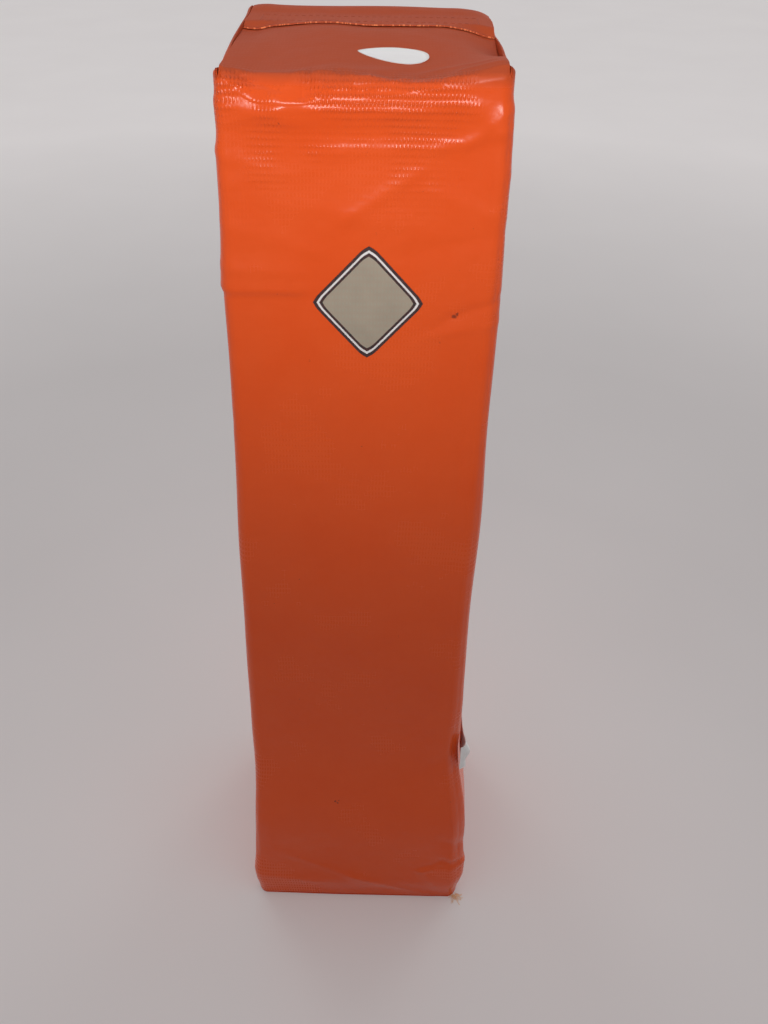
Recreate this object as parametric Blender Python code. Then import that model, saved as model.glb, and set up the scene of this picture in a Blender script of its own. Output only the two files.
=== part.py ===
# Football end zone pylon: a foam block on a pouch of sand, inside a sewn cover of coated cloth.
# Metres, +Z up. The origin is at the middle of the foot, and the front wall looks along -Y.
import math

import bmesh
import bpy
from mathutils import Vector

# Overall height over the closing flap, without its stitching, and outside width of the straight body
pylon_height = 0.4572
body_width = 0.105

# Thickness of the cover's cloth, and the clearance between pieces that touch
cloth = 0.0006
fit_gap = 0.0003

# Outside of the cover where the sand fills it: how far the flat foot and the belly stand out past
# the straight body at each side, how much their walls bulge, and the heights of belly and waist
foot_flare = 0.0025
foot_crown = 0.0005
belly_flare = 0.0042
belly_crown = 0.0015
belly_low_height = 0.018
belly_high_height = 0.050
waist_height = 0.112

# Rounding of the upright corners, along the body and foot and at the belly
corner_radius = 0.004
belly_corner_radius = 0.0075

# Bottom margin of the cover, turned in over the base panel and sewn to it
hem_width = 0.012
hem_seam_inset = 0.005

# Sewing thread, as thick as it stands above the cloth
thread_diameter = 0.0006
thread_end_margin = 0.004

# Pouch of sand, and the extra rounding of what the cover holds, which leaves the corner seam its room
pouch_cloth = 0.0004
pouch_height = 0.088
pouch_seam_inset = 0.004
seam_room = 0.003

# Side gussets, folded in over the foam, and the parting that they leave between their ends
gusset_parting = 0.015
gusset_taper = 0.006

# Closing flap, hinged at the rear edge and pressed down on the front flap. Its free edge reaches past
# the tapes. Bends are measured inside
closing_flap_length = 0.038
closing_bend_radius = 0.0024
closing_edge_lap = 0.0045
flap_side_inset = 0.002

# Hook and loop tapes that hold the closing flap, with a margin round their band for the stitching
tape_side_inset = 0.0055
tape_width = 0.0127
tape_base = 0.0005
tape_margin = 0.0018
loop_thickness = 0.0012
hook_thickness = 0.0010
tape_seam_radius = 0.0008

# Front flap, over the gussets. It rises to the closing flap's free edge, dips for the tapes and ends
# a little behind them
front_flap_end_margin = 0.001
front_bend_radius = 0.0004

# Printed decal on the front wall, a lozenge measured between its points before they are blunted
decal_width = 0.0463
decal_height = 0.0533
decal_corner_radius = 0.003
decal_thickness = 0.0002
decal_x = 0.0024
decal_drop = 0.0852

# Blank oval sticker on the front flap
sticker_length = 0.027
sticker_width = 0.017
sticker_thickness = 0.0002
sticker_x = 0.010
sticker_y = -0.021
sticker_turn = math.radians(-10)

# Woven label, held in the upright corner seam at the front right, with its lower edge under the waist
label_thickness = 0.0003
label_drop = 0.0095
label_width = 0.016
label_reach = 0.0052
label_length = 0.026
label_path_shares = ((0.04, 0.0), (0.60, -0.02), (0.94, 0.07), (1.0, 0.2), (0.98, 0.5), (0.88, 1.0))

# Facets
side_steps = 5
corner_steps = 3
fold_steps = 3
round_steps = 24
thread_bevel_resolution = 1
foot_levels = 4
belly_levels = 4
waist_levels = 6
body_levels = 2
smooth_angle = math.radians(35)

# Half widths worked out from the sizes above
body_half = body_width / 2
foot_half = body_half + foot_flare
belly_half = body_half + belly_flare
flap_half_width = body_half - flap_side_inset
tape_length = 2 * (flap_half_width - tape_side_inset)
tape_seam_inset = tape_margin / 2

# Levels from the ground up to the foam, then from the closing flap down to the top of the walls
hem_bottom = cloth + fit_gap
hem_top = hem_bottom + cloth
pouch_bottom = hem_top + thread_diameter + 2 * fit_gap
pouch_panel_bottom = pouch_height + fit_gap
pouch_panel_top = pouch_panel_bottom + pouch_cloth
foam_bottom = pouch_panel_top + thread_diameter + 2 * fit_gap
closing_flap_top = pylon_height
hook_top = closing_flap_top - cloth - fit_gap
hook_bottom = hook_top - hook_thickness
loop_top = hook_bottom - fit_gap
loop_bottom = loop_top - loop_thickness
front_flap_ridge = closing_flap_top - cloth - fit_gap
front_flap_low = loop_bottom - fit_gap
gusset_top = front_flap_low - cloth - fit_gap
gusset_bottom = gusset_top - cloth
wall_top = gusset_bottom - fit_gap
hinge_height = wall_top + fit_gap / 2
label_low = waist_height - label_drop
decal_z = wall_top - decal_drop

# Places worked out along Y, from the closing flap's free edge to the rear
closing_edge_y = body_half - closing_flap_length
tape_front_y = closing_edge_y + closing_edge_lap + fit_gap
tape_rear_y = tape_front_y + tape_width
front_flap_end_y = tape_rear_y + front_flap_end_margin

# Colour and roughness of each finish
orange_cloth = ((0.62, 0.075, 0.020), 0.35)
orange_thread = ((0.75, 0.22, 0.06), 0.6)
orange_tape = ((0.45, 0.07, 0.03), 0.8)
grey_foam = ((0.62, 0.63, 0.62), 0.9)
white_pouch = ((0.72, 0.72, 0.70), 0.7)
tan_sand = ((0.52, 0.42, 0.29), 0.95)
tan_print = ((0.30, 0.26, 0.19), 0.4)
white_film = ((0.85, 0.85, 0.85), 0.5)


def clear_scene():
    """Removes every object of the open scene."""
    for item in list(bpy.data.objects):
        bpy.data.objects.remove(item, do_unlink=True)


def make_material(name, colour, roughness):
    """A Principled material with one colour and one roughness."""
    material = bpy.data.materials.new(name)
    material.use_nodes = True
    shader = material.node_tree.nodes["Principled BSDF"]
    shader.inputs["Base Color"].default_value = (*colour, 1.0)
    shader.inputs["Roughness"].default_value = roughness
    shader.inputs["Metallic"].default_value = 0.0
    return material


def place(item, parent, origin):
    """Hangs an object on its parent, with its own origin at a place of the whole pylon."""
    bpy.context.scene.collection.objects.link(item)
    item.parent = parent
    item.location = Vector(origin) - (parent.matrix_world.translation if parent else Vector())
    bpy.context.view_layer.update()
    return item


def add_solid(name, mesh_data, material, parent, origin):
    """Makes an object of a bmesh drawn in the pylon's own frame, with its origin moved to a place."""
    bmesh.ops.recalc_face_normals(mesh_data, faces=mesh_data.faces)
    bmesh.ops.translate(mesh_data, verts=mesh_data.verts, vec=-Vector(origin))
    mesh = bpy.data.meshes.new(name)
    mesh_data.to_mesh(mesh)
    mesh_data.free()
    mesh.shade_smooth()
    mesh.set_sharp_from_angle(angle=smooth_angle)
    mesh.materials.append(material)
    return place(bpy.data.objects.new(name, mesh), parent, origin)


def add_thread(name, points, closed, parent, origin):
    """Makes a run of sewing thread through points of the pylon's own frame."""
    curve = bpy.data.curves.new(name, "CURVE")
    curve.dimensions = "3D"
    curve.bevel_depth = thread_diameter / 2
    curve.bevel_resolution = thread_bevel_resolution
    curve.use_fill_caps = not closed
    spline = curve.splines.new("POLY")
    spline.points.add(len(points) - 1)
    spline.use_cyclic_u = closed
    for knot, point in zip(spline.points, points):
        knot.co = (*(Vector(point) - Vector(origin)), 1.0)
    curve.materials.append(thread_material)
    return place(bpy.data.objects.new(name, curve), parent, origin)


def square(half, radius, crown):
    """Points of a square with round corners, anticlockwise from above, whose sides swell by crown."""
    flat = half - radius
    quarter = []
    for step in range(side_steps):
        across = -1 + 2 * step / side_steps
        quarter.append((across * flat, -(half + crown * (1 - across**2))))
    for step in range(corner_steps):
        turn = math.pi / 2 * step / corner_steps
        quarter.append((flat + radius * math.sin(turn), -(flat + radius * math.cos(turn))))
    points = []
    for turn in range(4):
        points += quarter
        quarter = [(-y, x) for x, y in quarter]
    return points


def cover_stations():
    """Height, half width, crown and corner radius of the cover's outside at its named heights."""
    return (
        (hem_bottom, foot_half, foot_crown, corner_radius),
        (belly_low_height, belly_half, belly_crown, belly_corner_radius),
        (belly_high_height, belly_half, belly_crown, belly_corner_radius),
        (waist_height, body_half, 0, corner_radius),
        (wall_top, body_half, 0, corner_radius),
    )


def cover_size(height):
    """Half width, crown and corner radius of the cover's outside, blended between the stations."""
    stations = cover_stations()
    if height <= stations[0][0]:
        return stations[0][1:]
    for low, high in zip(stations, stations[1:]):
        if height <= high[0]:
            share = (height - low[0]) / (high[0] - low[0])
            share = share * share * (3 - 2 * share)
            return tuple(a + (b - a) * share for a, b in zip(low[1:], high[1:]))
    return stations[-1][1:]


def levels(bottom, top):
    """Heights of the rings between bottom and top: the cover's own heights, so that facets lie parallel."""
    stations = cover_stations()
    counts = (foot_levels, belly_levels, waist_levels, body_levels)
    heights = []
    for low, high, count in zip(stations, stations[1:], counts):
        heights += [low[0] + (high[0] - low[0]) * step / count for step in range(count)]
    return [bottom] + [height for height in heights if bottom < height < top] + [top]


def ring(height, inset, rounding=0):
    """A level ring of points, inset from the cover's outside, with its corners rounded that much more."""
    half, crown, radius = cover_size(height)
    return [(x, y, height) for x, y in square(half - inset, radius - inset + rounding, crown)]


def loft(rings, closed):
    """Joins rings of equal count into one skin, closed on itself or capped at its two ends.

    Each band is cut into triangles the same way up, so that nested skins stay parallel.
    """
    mesh_data = bmesh.new()
    rows = [[mesh_data.verts.new(point) for point in points] for points in rings]
    following = rows[1:] + rows[:1] if closed else rows[1:]
    for low, high in zip(rows, following):
        rising = high[0].co.z >= low[0].co.z
        for i in range(len(low)):
            j = (i + 1) % len(low)
            if rising:
                mesh_data.faces.new((low[i], low[j], high[j]))
                mesh_data.faces.new((low[i], high[j], high[i]))
            else:
                mesh_data.faces.new((low[i], low[j], high[i]))
                mesh_data.faces.new((low[j], high[j], high[i]))
    if not closed:
        mesh_data.faces.new(rows[0][::-1])
        mesh_data.faces.new(rows[-1])
    return mesh_data


def prism(outline, point_at, low, high):
    """A straight solid: point_at(u, v, w) places the outline's (u, v) at two values of w."""
    mesh_data = bmesh.new()
    rows = [[mesh_data.verts.new(point_at(u, v, w)) for u, v in outline] for w in (low, high)]
    for i in range(len(outline)):
        j = (i + 1) % len(outline)
        mesh_data.faces.new((rows[0][i], rows[0][j], rows[1][j], rows[1][i]))
    mesh_data.faces.new(rows[0][::-1])
    mesh_data.faces.new(rows[1])
    return mesh_data


def upright(u, v, w):
    """Places an outline drawn from above."""
    return (u, v, w)


def frontal(u, v, w):
    """Places an outline drawn from the front."""
    return (u, w, v)


def sideways(u, v, w):
    """Places an outline drawn from the side."""
    return (w, u, v)


def make_cover_wrap(parent):
    """Four walls of one sheet, open at the top, with the bottom margin turned in."""
    rings = [ring(height, 0) for height in levels(hem_bottom, wall_top)]
    rings += [ring(height, cloth) for height in reversed(levels(hem_top, wall_top))]
    rings += [ring(height, hem_width, hem_width) for height in (hem_top, hem_bottom)]
    return add_solid("cover_wrap", loft(rings, True), cover_material, parent, (0, 0, hem_bottom))


def make_base_panel(parent):
    """Flat square under the turned-in margin, on which the pylon stands."""
    outline = square(foot_half - fit_gap, corner_radius, 0)
    solid = prism(outline, upright, 0, cloth)
    return add_solid("base_panel", solid, cover_material, parent, (0, 0, 0))


def make_foam_core(parent):
    """Foam block that stands on the pouch and fills the straight body up to the fold."""
    inset = cloth + fit_gap
    outline = square(body_half - inset, corner_radius - inset + seam_room, 0)
    solid = prism(outline, upright, foam_bottom, wall_top)
    return add_solid("foam_core", solid, foam_material, parent, (0, 0, foam_bottom))


def make_ballast_pouch(parent):
    """Cloth pouch in the shape of the belly, open where its top panel is sewn on."""
    outer = cloth + fit_gap
    inner = outer + pouch_cloth
    floor = pouch_bottom + pouch_cloth
    rings = [ring(height, outer, seam_room) for height in levels(pouch_bottom, pouch_height)]
    rings += [ring(height, inner, seam_room) for height in reversed(levels(floor, pouch_height))]
    return add_solid("ballast_pouch", loft(rings, False), pouch_material, parent, (0, 0, pouch_bottom))


def make_ballast_sand(parent):
    """The fill of sand, which gives the belly its shape."""
    bottom = pouch_bottom + pouch_cloth + fit_gap
    inset = cloth + pouch_cloth + 2 * fit_gap
    rings = [ring(height, inset, seam_room) for height in levels(bottom, pouch_height)]
    return add_solid("ballast_sand", loft(rings, False), sand_material, parent, (0, 0, bottom))


def make_pouch_top_panel(parent):
    """Flat panel that closes the pouch."""
    outline = [(x, y) for x, y, _ in ring(pouch_panel_top, cloth + fit_gap, seam_room)]
    solid = prism(outline, upright, pouch_panel_bottom, pouch_panel_top)
    origin = (0, 0, pouch_panel_bottom)
    return add_solid("pouch_top_panel", solid, pouch_material, parent, origin)


def make_gusset(name, side, parent):
    """Side flap folded in over the foam. It narrows towards its free end."""
    fold_x = side * body_half
    end_x = side * gusset_parting / 2
    fold_y = body_half - cloth - fit_gap
    end_y = fold_y - gusset_taper
    outline = [(fold_x, -fold_y), (fold_x, fold_y), (end_x, end_y), (end_x, -end_y)]
    solid = prism(outline, upright, gusset_bottom, gusset_top)
    return add_solid(name, solid, cover_material, parent, (fold_x, 0, gusset_bottom))


def folded_outline(top, bend_radius, line):
    """Side view of a flap that rises from the wall, bends inwards and follows a line to its free edge.

    A point is (distance inwards, height of the upper side).
    """
    bottom = wall_top + fit_gap
    outer_radius = bend_radius + cloth
    turns = [math.pi / 2 * step / fold_steps for step in range(fold_steps + 1)]
    outer = [
        (outer_radius * (1 - math.cos(turn)), top - outer_radius * (1 - math.sin(turn)))
        for turn in turns
    ]
    inner = [
        (outer_radius - bend_radius * math.cos(turn), top - outer_radius + bend_radius * math.sin(turn))
        for turn in reversed(turns)
    ]
    lower_line = [(inwards, height - cloth) for inwards, height in reversed(line)]
    return [(0, bottom)] + outer + line + lower_line + inner + [(cloth, bottom)]


def make_front_top_flap(parent):
    """Long flap from the front wall, under the closing flap."""
    line = [
        (body_half + closing_edge_y, front_flap_ridge),
        (body_half + tape_front_y - fit_gap, front_flap_low),
        (body_half + front_flap_end_y, front_flap_low),
    ]
    outline = folded_outline(front_flap_low, front_bend_radius, line)
    outline = [(inwards - body_half, height) for inwards, height in outline]
    solid = prism(outline, sideways, -flap_half_width, flap_half_width)
    origin = (0, -body_half, hinge_height)
    return add_solid("front_top_flap", solid, cover_material, parent, origin)


def make_closing_flap(parent):
    """Short flap from the rear wall, which lies on top and holds the others shut."""
    line = [(closing_flap_length, closing_flap_top)]
    outline = folded_outline(closing_flap_top, closing_bend_radius, line)
    outline = [(body_half - inwards, height) for inwards, height in outline]
    solid = prism(outline, sideways, -flap_half_width, flap_half_width)
    return add_solid("closing_flap", solid, cover_material, parent, (0, body_half, hinge_height))


def make_tape(name, base_height, facing, thickness, parent):
    """Tape patch: a flat base with a raised band. facing is 1 for a band above the base, -1 below."""
    mesh_data = bmesh.new()
    bmesh.ops.create_cube(mesh_data, size=1)
    bmesh.ops.scale(mesh_data, verts=mesh_data.verts, vec=(tape_length, tape_width, tape_base))
    mesh_data.normal_update()
    face = max(mesh_data.faces, key=lambda item: facing * item.calc_center_median().z)
    bmesh.ops.inset_region(mesh_data, faces=[face], thickness=tape_margin, use_even_offset=True)
    grown = bmesh.ops.extrude_face_region(mesh_data, geom=[face])
    raised = [item for item in grown["geom"] if isinstance(item, bmesh.types.BMVert)]
    bmesh.ops.translate(mesh_data, verts=raised, vec=(0, 0, facing * (thickness - tape_base)))
    bmesh.ops.delete(mesh_data, geom=[face], context="FACES")
    middle = Vector((0, (tape_front_y + tape_rear_y) / 2, base_height + facing * tape_base / 2))
    bmesh.ops.translate(mesh_data, verts=mesh_data.verts, vec=middle)
    return add_solid(name, mesh_data, tape_material, parent, middle)


def tape_seam(height):
    """A round-cornered rectangle of points along a tape's edge, at a height."""
    reach_x = tape_length / 2 - tape_seam_inset - tape_seam_radius
    reach_y = tape_width / 2 - tape_seam_inset - tape_seam_radius
    middle_y = (tape_front_y + tape_rear_y) / 2
    corners = ((1, -1), (1, 1), (-1, 1), (-1, -1))
    points = []
    for quarter, (along, across) in enumerate(corners):
        for step in range(corner_steps + 1):
            turn = math.pi / 2 * (quarter - 1 + step / corner_steps)
            x = along * reach_x + tape_seam_radius * math.cos(turn)
            y = middle_y + across * reach_y + tape_seam_radius * math.sin(turn)
            points.append((x, y, height))
    return points


def make_tape_threads(closing_flap, front_flap):
    """The stitching that shows on the closing flap, and the one in the loop tape's margin."""
    rise = fit_gap + thread_diameter / 2
    above_flap = closing_flap_top + rise
    above_margin = loop_bottom + tape_base + rise
    middle_y = (tape_front_y + tape_rear_y) / 2
    places = (
        ("hook_tape_thread", above_flap, closing_flap),
        ("loop_tape_thread", above_margin, front_flap),
    )
    for name, height, parent in places:
        add_thread(name, tape_seam(height), True, parent, (0, middle_y, height))


def make_base_seam_thread(parent):
    """Stitching round the turned-in margin, which joins it to the base panel."""
    height = hem_top + fit_gap + thread_diameter / 2
    inset = cloth + hem_seam_inset
    points = [(x, y, height) for x, y in square(foot_half - inset, hem_seam_inset, 0)]
    return add_thread("base_seam_thread", points, True, parent, (0, 0, height))


def make_pouch_seam_thread(parent):
    """Stitching round the pouch's top panel."""
    height = pouch_panel_top + fit_gap + thread_diameter / 2
    inset = cloth + fit_gap + pouch_seam_inset
    outline = ring(pouch_height, inset, seam_room + pouch_seam_inset)
    points = [(x, y, height) for x, y, _ in outline]
    return add_thread("pouch_seam_thread", points, True, parent, (0, 0, height))


def corner_point(height, depth):
    """Place on the diagonal of the front right corner, at a depth below the cover's outside."""
    half, _, radius = cover_size(height)
    reach = half - radius + (radius - depth) * math.cos(math.pi / 4)
    return (reach, -reach, height)


def make_corner_seam_thread(parent):
    """Upright seam inside the front right corner, where the sheet's two ends meet."""
    depth = cloth + fit_gap + thread_diameter / 2
    heights = levels(pouch_bottom + thread_end_margin, wall_top - thread_end_margin)
    points = [corner_point(height, depth) for height in heights]
    return add_thread("corner_seam_thread", points, False, parent, points[0])


def make_front_decal(parent):
    """Printed lozenge on the front wall, with blunted points."""
    reach_x = decal_width / 2
    reach_z = decal_height / 2
    slant = math.atan2(reach_x, reach_z)
    set_x = decal_corner_radius / math.cos(slant)
    set_z = decal_corner_radius / math.sin(slant)
    corners = (
        (reach_x - set_x, 0, -slant, slant),
        (0, reach_z - set_z, slant, math.pi - slant),
        (set_x - reach_x, 0, math.pi - slant, math.pi + slant),
        (0, set_z - reach_z, math.pi + slant, 2 * math.pi - slant),
    )
    outline = []
    for x, z, first, last in corners:
        for step in range(corner_steps + 1):
            turn = first + (last - first) * step / corner_steps
            outline.append((
                decal_x + x + decal_corner_radius * math.cos(turn),
                decal_z + z + decal_corner_radius * math.sin(turn),
            ))
    face_y = -(body_half + fit_gap)
    solid = prism(outline, frontal, face_y, face_y - decal_thickness)
    return add_solid("front_decal", solid, decal_material, parent, (decal_x, face_y, decal_z))


def on_front_flap(u, v, w):
    """Places an outline drawn from above on the front flap's slope, at a height w over it."""
    slope = (front_flap_ridge - front_flap_low) / (closing_edge_y + body_half)
    return (u, v, front_flap_low + slope * (v + body_half) + w)


def make_top_sticker(parent):
    """Blank oval sticker on the front flap."""
    outline = []
    for step in range(round_steps):
        turn = 2 * math.pi * step / round_steps
        along = sticker_length / 2 * math.cos(turn)
        across = sticker_width / 2 * math.sin(turn)
        outline.append((
            sticker_x + along * math.cos(sticker_turn) - across * math.sin(sticker_turn),
            sticker_y + along * math.sin(sticker_turn) + across * math.cos(sticker_turn),
        ))
    solid = prism(outline, on_front_flap, fit_gap, fit_gap + sticker_thickness)
    origin = on_front_flap(sticker_x, sticker_y, fit_gap)
    return add_solid("top_sticker", solid, white_material, parent, origin)


def make_seam_label(parent):
    """Woven label that leaves the corner seam and curls back along the right wall."""
    root_x, root_y, _ = corner_point(label_low, -fit_gap)
    path = [
        Vector((root_x + reach * label_reach, root_y + along * label_length))
        for reach, along in label_path_shares
    ]
    left, right = [], []
    for i, point in enumerate(path):
        run = (path[min(i + 1, len(path) - 1)] - path[max(i - 1, 0)]).normalized()
        across = Vector((-run.y, run.x)) * label_thickness / 2
        left.append(tuple(point + across))
        right.append(tuple(point - across))
    solid = prism(left + right[::-1], upright, label_low, label_low + label_width)
    origin = (root_x, root_y, label_low + label_width / 2)
    return add_solid("seam_label", solid, white_material, parent, origin)


clear_scene()
cover_material = make_material("coated_cloth", *orange_cloth)
thread_material = make_material("sewing_thread", *orange_thread)
tape_material = make_material("hook_and_loop", *orange_tape)
foam_material = make_material("foam", *grey_foam)
pouch_material = make_material("pouch_cloth", *white_pouch)
sand_material = make_material("sand", *tan_sand)
decal_material = make_material("decal_print", *tan_print)
white_material = make_material("white_film", *white_film)

pylon = place(bpy.data.objects.new("pylon", None), None, (0, 0, 0))
cover_wrap = make_cover_wrap(pylon)
make_base_panel(pylon)
make_ballast_pouch(pylon)
make_ballast_sand(pylon)
make_pouch_top_panel(pylon)
make_foam_core(pylon)
make_gusset("left_top_gusset", -1, cover_wrap)
make_gusset("right_top_gusset", 1, cover_wrap)
front_top_flap = make_front_top_flap(cover_wrap)
closing_flap = make_closing_flap(cover_wrap)
make_tape("loop_tape", loop_bottom, 1, loop_thickness, front_top_flap)
make_tape("hook_tape", hook_top, -1, hook_thickness, closing_flap)
make_tape_threads(closing_flap, front_top_flap)
make_base_seam_thread(cover_wrap)
make_pouch_seam_thread(pylon)
make_corner_seam_thread(cover_wrap)
make_front_decal(cover_wrap)
make_top_sticker(front_top_flap)
make_seam_label(cover_wrap)
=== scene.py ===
# %% [markdown]
# # Football end zone pylon
#
# A pylon is a soft, square post that marks the corner of an end zone. A block of foam stands on a pouch
# of sand, and both are held in a sewn cover of bright orange coated cloth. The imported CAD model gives
# the sizes and the joints. This script gives every piece its real surface.

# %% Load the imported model
import math

import bpy
import numpy as np
from mathutils import Matrix, Vector


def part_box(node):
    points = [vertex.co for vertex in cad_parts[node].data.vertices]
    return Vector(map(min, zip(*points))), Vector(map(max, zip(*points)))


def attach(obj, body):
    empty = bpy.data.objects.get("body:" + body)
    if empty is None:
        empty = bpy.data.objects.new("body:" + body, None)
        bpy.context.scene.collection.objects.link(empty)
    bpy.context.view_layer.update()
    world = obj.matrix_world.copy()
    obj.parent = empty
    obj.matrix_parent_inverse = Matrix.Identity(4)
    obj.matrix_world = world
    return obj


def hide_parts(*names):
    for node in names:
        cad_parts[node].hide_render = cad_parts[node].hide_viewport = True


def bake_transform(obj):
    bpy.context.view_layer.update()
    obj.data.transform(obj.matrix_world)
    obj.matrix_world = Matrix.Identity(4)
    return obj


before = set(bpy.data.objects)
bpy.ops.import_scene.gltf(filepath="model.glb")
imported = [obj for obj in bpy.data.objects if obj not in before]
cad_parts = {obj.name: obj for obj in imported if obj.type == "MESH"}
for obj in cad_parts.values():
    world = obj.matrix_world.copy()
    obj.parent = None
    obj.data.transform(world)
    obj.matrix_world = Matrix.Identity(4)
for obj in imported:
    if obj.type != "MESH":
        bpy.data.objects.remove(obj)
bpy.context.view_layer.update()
mm = 0.001

# %% [markdown]
# ## Camera
#
# The camera stands where the photographer stood: close in front, a little above the top and looking
# down. The lens and the tilt come from fitting the pylon's known height to its outline in the photograph.
# The picture is taken from the upper part of the lens's image, which a lens shift repeats.

# %% Place the camera
picture_height = 1024
focal_pixels = 998
axis_pixel = 360
film_width = 36
camera_place = (0.0111, -0.3993, 0.5338)
camera_pitch = math.radians(28.98)
camera_yaw = math.radians(0.34)
camera_roll = math.radians(1.16)

level_ahead = Vector((-math.sin(camera_yaw), math.cos(camera_yaw), 0))
level_right = Vector((math.cos(camera_yaw), math.sin(camera_yaw), 0))
ahead = level_ahead * math.cos(camera_pitch) - Vector((0, 0, math.sin(camera_pitch)))
above = level_ahead * math.sin(camera_pitch) + Vector((0, 0, math.cos(camera_pitch)))
right = level_right * math.cos(camera_roll) + above * math.sin(camera_roll)
upward = above * math.cos(camera_roll) - level_right * math.sin(camera_roll)

camera_data = bpy.data.cameras.new("camera")
camera_data.sensor_width = film_width
camera_data.lens = film_width * focal_pixels / picture_height
camera_data.shift_y = -(picture_height / 2 - axis_pixel) / picture_height
camera = bpy.data.objects.new("camera", camera_data)
bpy.context.scene.collection.objects.link(camera)
turned = Matrix((right, upward, -ahead)).transposed().to_4x4()
camera.matrix_world = Matrix.Translation(camera_place) @ turned
bpy.context.scene.camera = camera
bpy.context.scene.view_settings.view_transform = "Standard"
print("lens", round(camera_data.lens, 2), "mm")

# %% [markdown]
# ## Sizes
#
# The sizes come from the boxes of the CAD nodes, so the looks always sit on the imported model. The few
# that a box can't give, such as the thickness of the cloth, are repeated here.

# %% Read the sizes
wrap_low, wrap_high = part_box("cover_wrap")
foam_low, foam_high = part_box("foam_core")
front_low, front_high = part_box("front_top_flap")
lid_low, lid_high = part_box("closing_flap")
gusset_low, gusset_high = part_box("right_top_gusset")
panel_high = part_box("base_panel")[1]
pouch_low, pouch_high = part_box("ballast_pouch")
cover_panel_low, cover_panel_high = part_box("pouch_top_panel")
loop_low, loop_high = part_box("loop_tape")
hook_low, hook_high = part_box("hook_tape")

cloth = 0.6 * mm
gap = 0.3 * mm
corner_radius = 4 * mm
wide_corner_extra = 2.0 * mm
belly_crown = 1.5 * mm
foot_crown = 0.5 * mm
body_half = -front_low.y
foot_half = panel_high.x + gap
belly_half = 56.7 * mm
hem_bottom = wrap_low.z
wall_top = wrap_high.z
print("body", round(2 * body_half / mm, 1), "mm wide, walls", round(wall_top / mm, 1), "mm high")

# %% [markdown]
# ## Surfaces from numbers
#
# Every new piece is a grid of points worked out at once with numpy. A sheet of cloth is such a grid with
# a second one behind it, joined round the rim, so that the cloth has its real thickness.

# %% Helpers that turn grids into meshes
def grid_quads(rows, columns, wrap=False):
    """Corner numbers of each quad of a grid, anticlockwise seen from outside."""
    row = np.arange(rows - 1)[:, None]
    column = np.arange(columns if wrap else columns - 1)[None, :]
    following = (column + 1) % columns
    corners = (
        row * columns + column,
        row * columns + following,
        (row + 1) * columns + following,
        (row + 1) * columns + column,
    )
    return np.stack(np.broadcast_arrays(*corners), axis=-1).reshape(-1, 4)


def grid_normals(points, wrap=False):
    """Unit normals of a grid: the cross product of its two directions."""
    across = np.gradient(points, axis=1)
    if wrap:
        across = (np.roll(points, -1, axis=1) - np.roll(points, 1, axis=1)) / 2
    normals = np.cross(across, np.gradient(points, axis=0))
    return normals / np.maximum(np.linalg.norm(normals, axis=-1, keepdims=True), 1e-12)


def make_piece(name, points, faces, smooth_angle=50):
    """A mesh object from an array of points and a list of face arrays, each of one corner count."""
    mesh = bpy.data.meshes.new(name)
    corners = np.concatenate([block.ravel() for block in faces]).astype(np.int32)
    counts = np.concatenate([np.full(len(block), block.shape[1]) for block in faces])
    starts = np.concatenate([[0], np.cumsum(counts)[:-1]]).astype(np.int32)
    mesh.vertices.add(len(points))
    mesh.vertices.foreach_set("co", np.asarray(points, np.float32).ravel())
    mesh.loops.add(len(corners))
    mesh.loops.foreach_set("vertex_index", corners)
    mesh.polygons.add(len(starts))
    mesh.polygons.foreach_set("loop_start", starts)
    mesh.update(calc_edges=True)
    mesh.validate()
    mesh.shade_smooth()
    mesh.set_sharp_from_angle(angle=math.radians(smooth_angle))
    piece = bpy.data.objects.new(name, mesh)
    bpy.context.scene.collection.objects.link(piece)
    return piece


def set_map(piece, values):
    """Gives each face corner its place on the flat cloth, in metres."""
    layer = piece.data.uv_layers.new(name="cloth")
    layer.uv.foreach_set("vector", np.asarray(values, np.float32).ravel())


def set_edge_distance(piece, distances):
    """Stores each point's distance from the edge of its piece, in millimetres, for the materials."""
    layer = piece.data.attributes.new("edge_mm", "FLOAT", "POINT")
    layer.data.foreach_set("value", np.concatenate(distances).astype(np.float32))


def rim_quads(rows, columns, wrap):
    """Quads that join a grid to the copy of it that follows in the list of points."""
    total = rows * columns
    column = np.arange(columns if wrap else columns - 1)
    following = (column + 1) % columns
    last = (rows - 1) * columns
    near = np.stack([following, column, column + total, following + total], -1)
    far = np.stack([last + column, last + following, last + following + total, last + column + total], -1)
    rims = [near, far]
    if not wrap:
        low = np.arange(rows - 1) * columns
        high = low + columns
        end = columns - 1
        rims.append(np.stack([low, high, high + total, low + total], -1))
        rims.append(np.stack([high + end, low + end, low + end + total, high + end + total], -1))
    return rims


def make_sheet(name, outside, flat_map, thickness, wrap=False):
    """A sheet of cloth: the outside grid, the same grid moved in along its normals, and the rim.

    flat_map holds each point's place on the flat cloth. A closed grid's map has one more column.
    """
    rows, columns = outside.shape[:2]
    inside = outside - thickness * grid_normals(outside, wrap)
    points = np.concatenate([outside.reshape(-1, 3), inside.reshape(-1, 3)])
    quads = grid_quads(rows, columns, wrap)
    rims = rim_quads(rows, columns, wrap)
    piece = make_piece(name, points, [quads, quads[:, ::-1] + rows * columns, *rims])
    flat_columns = flat_map.shape[1]
    flat_quads = grid_quads(rows, flat_columns)
    numbers = [flat_quads, flat_quads[:, ::-1]]
    for block in rim_quads(rows, flat_columns, False)[: len(rims)]:
        numbers.append(block % (rows * flat_columns))
    set_map(piece, flat_map.reshape(-1, 2)[np.concatenate(numbers).ravel()])
    return piece


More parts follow.
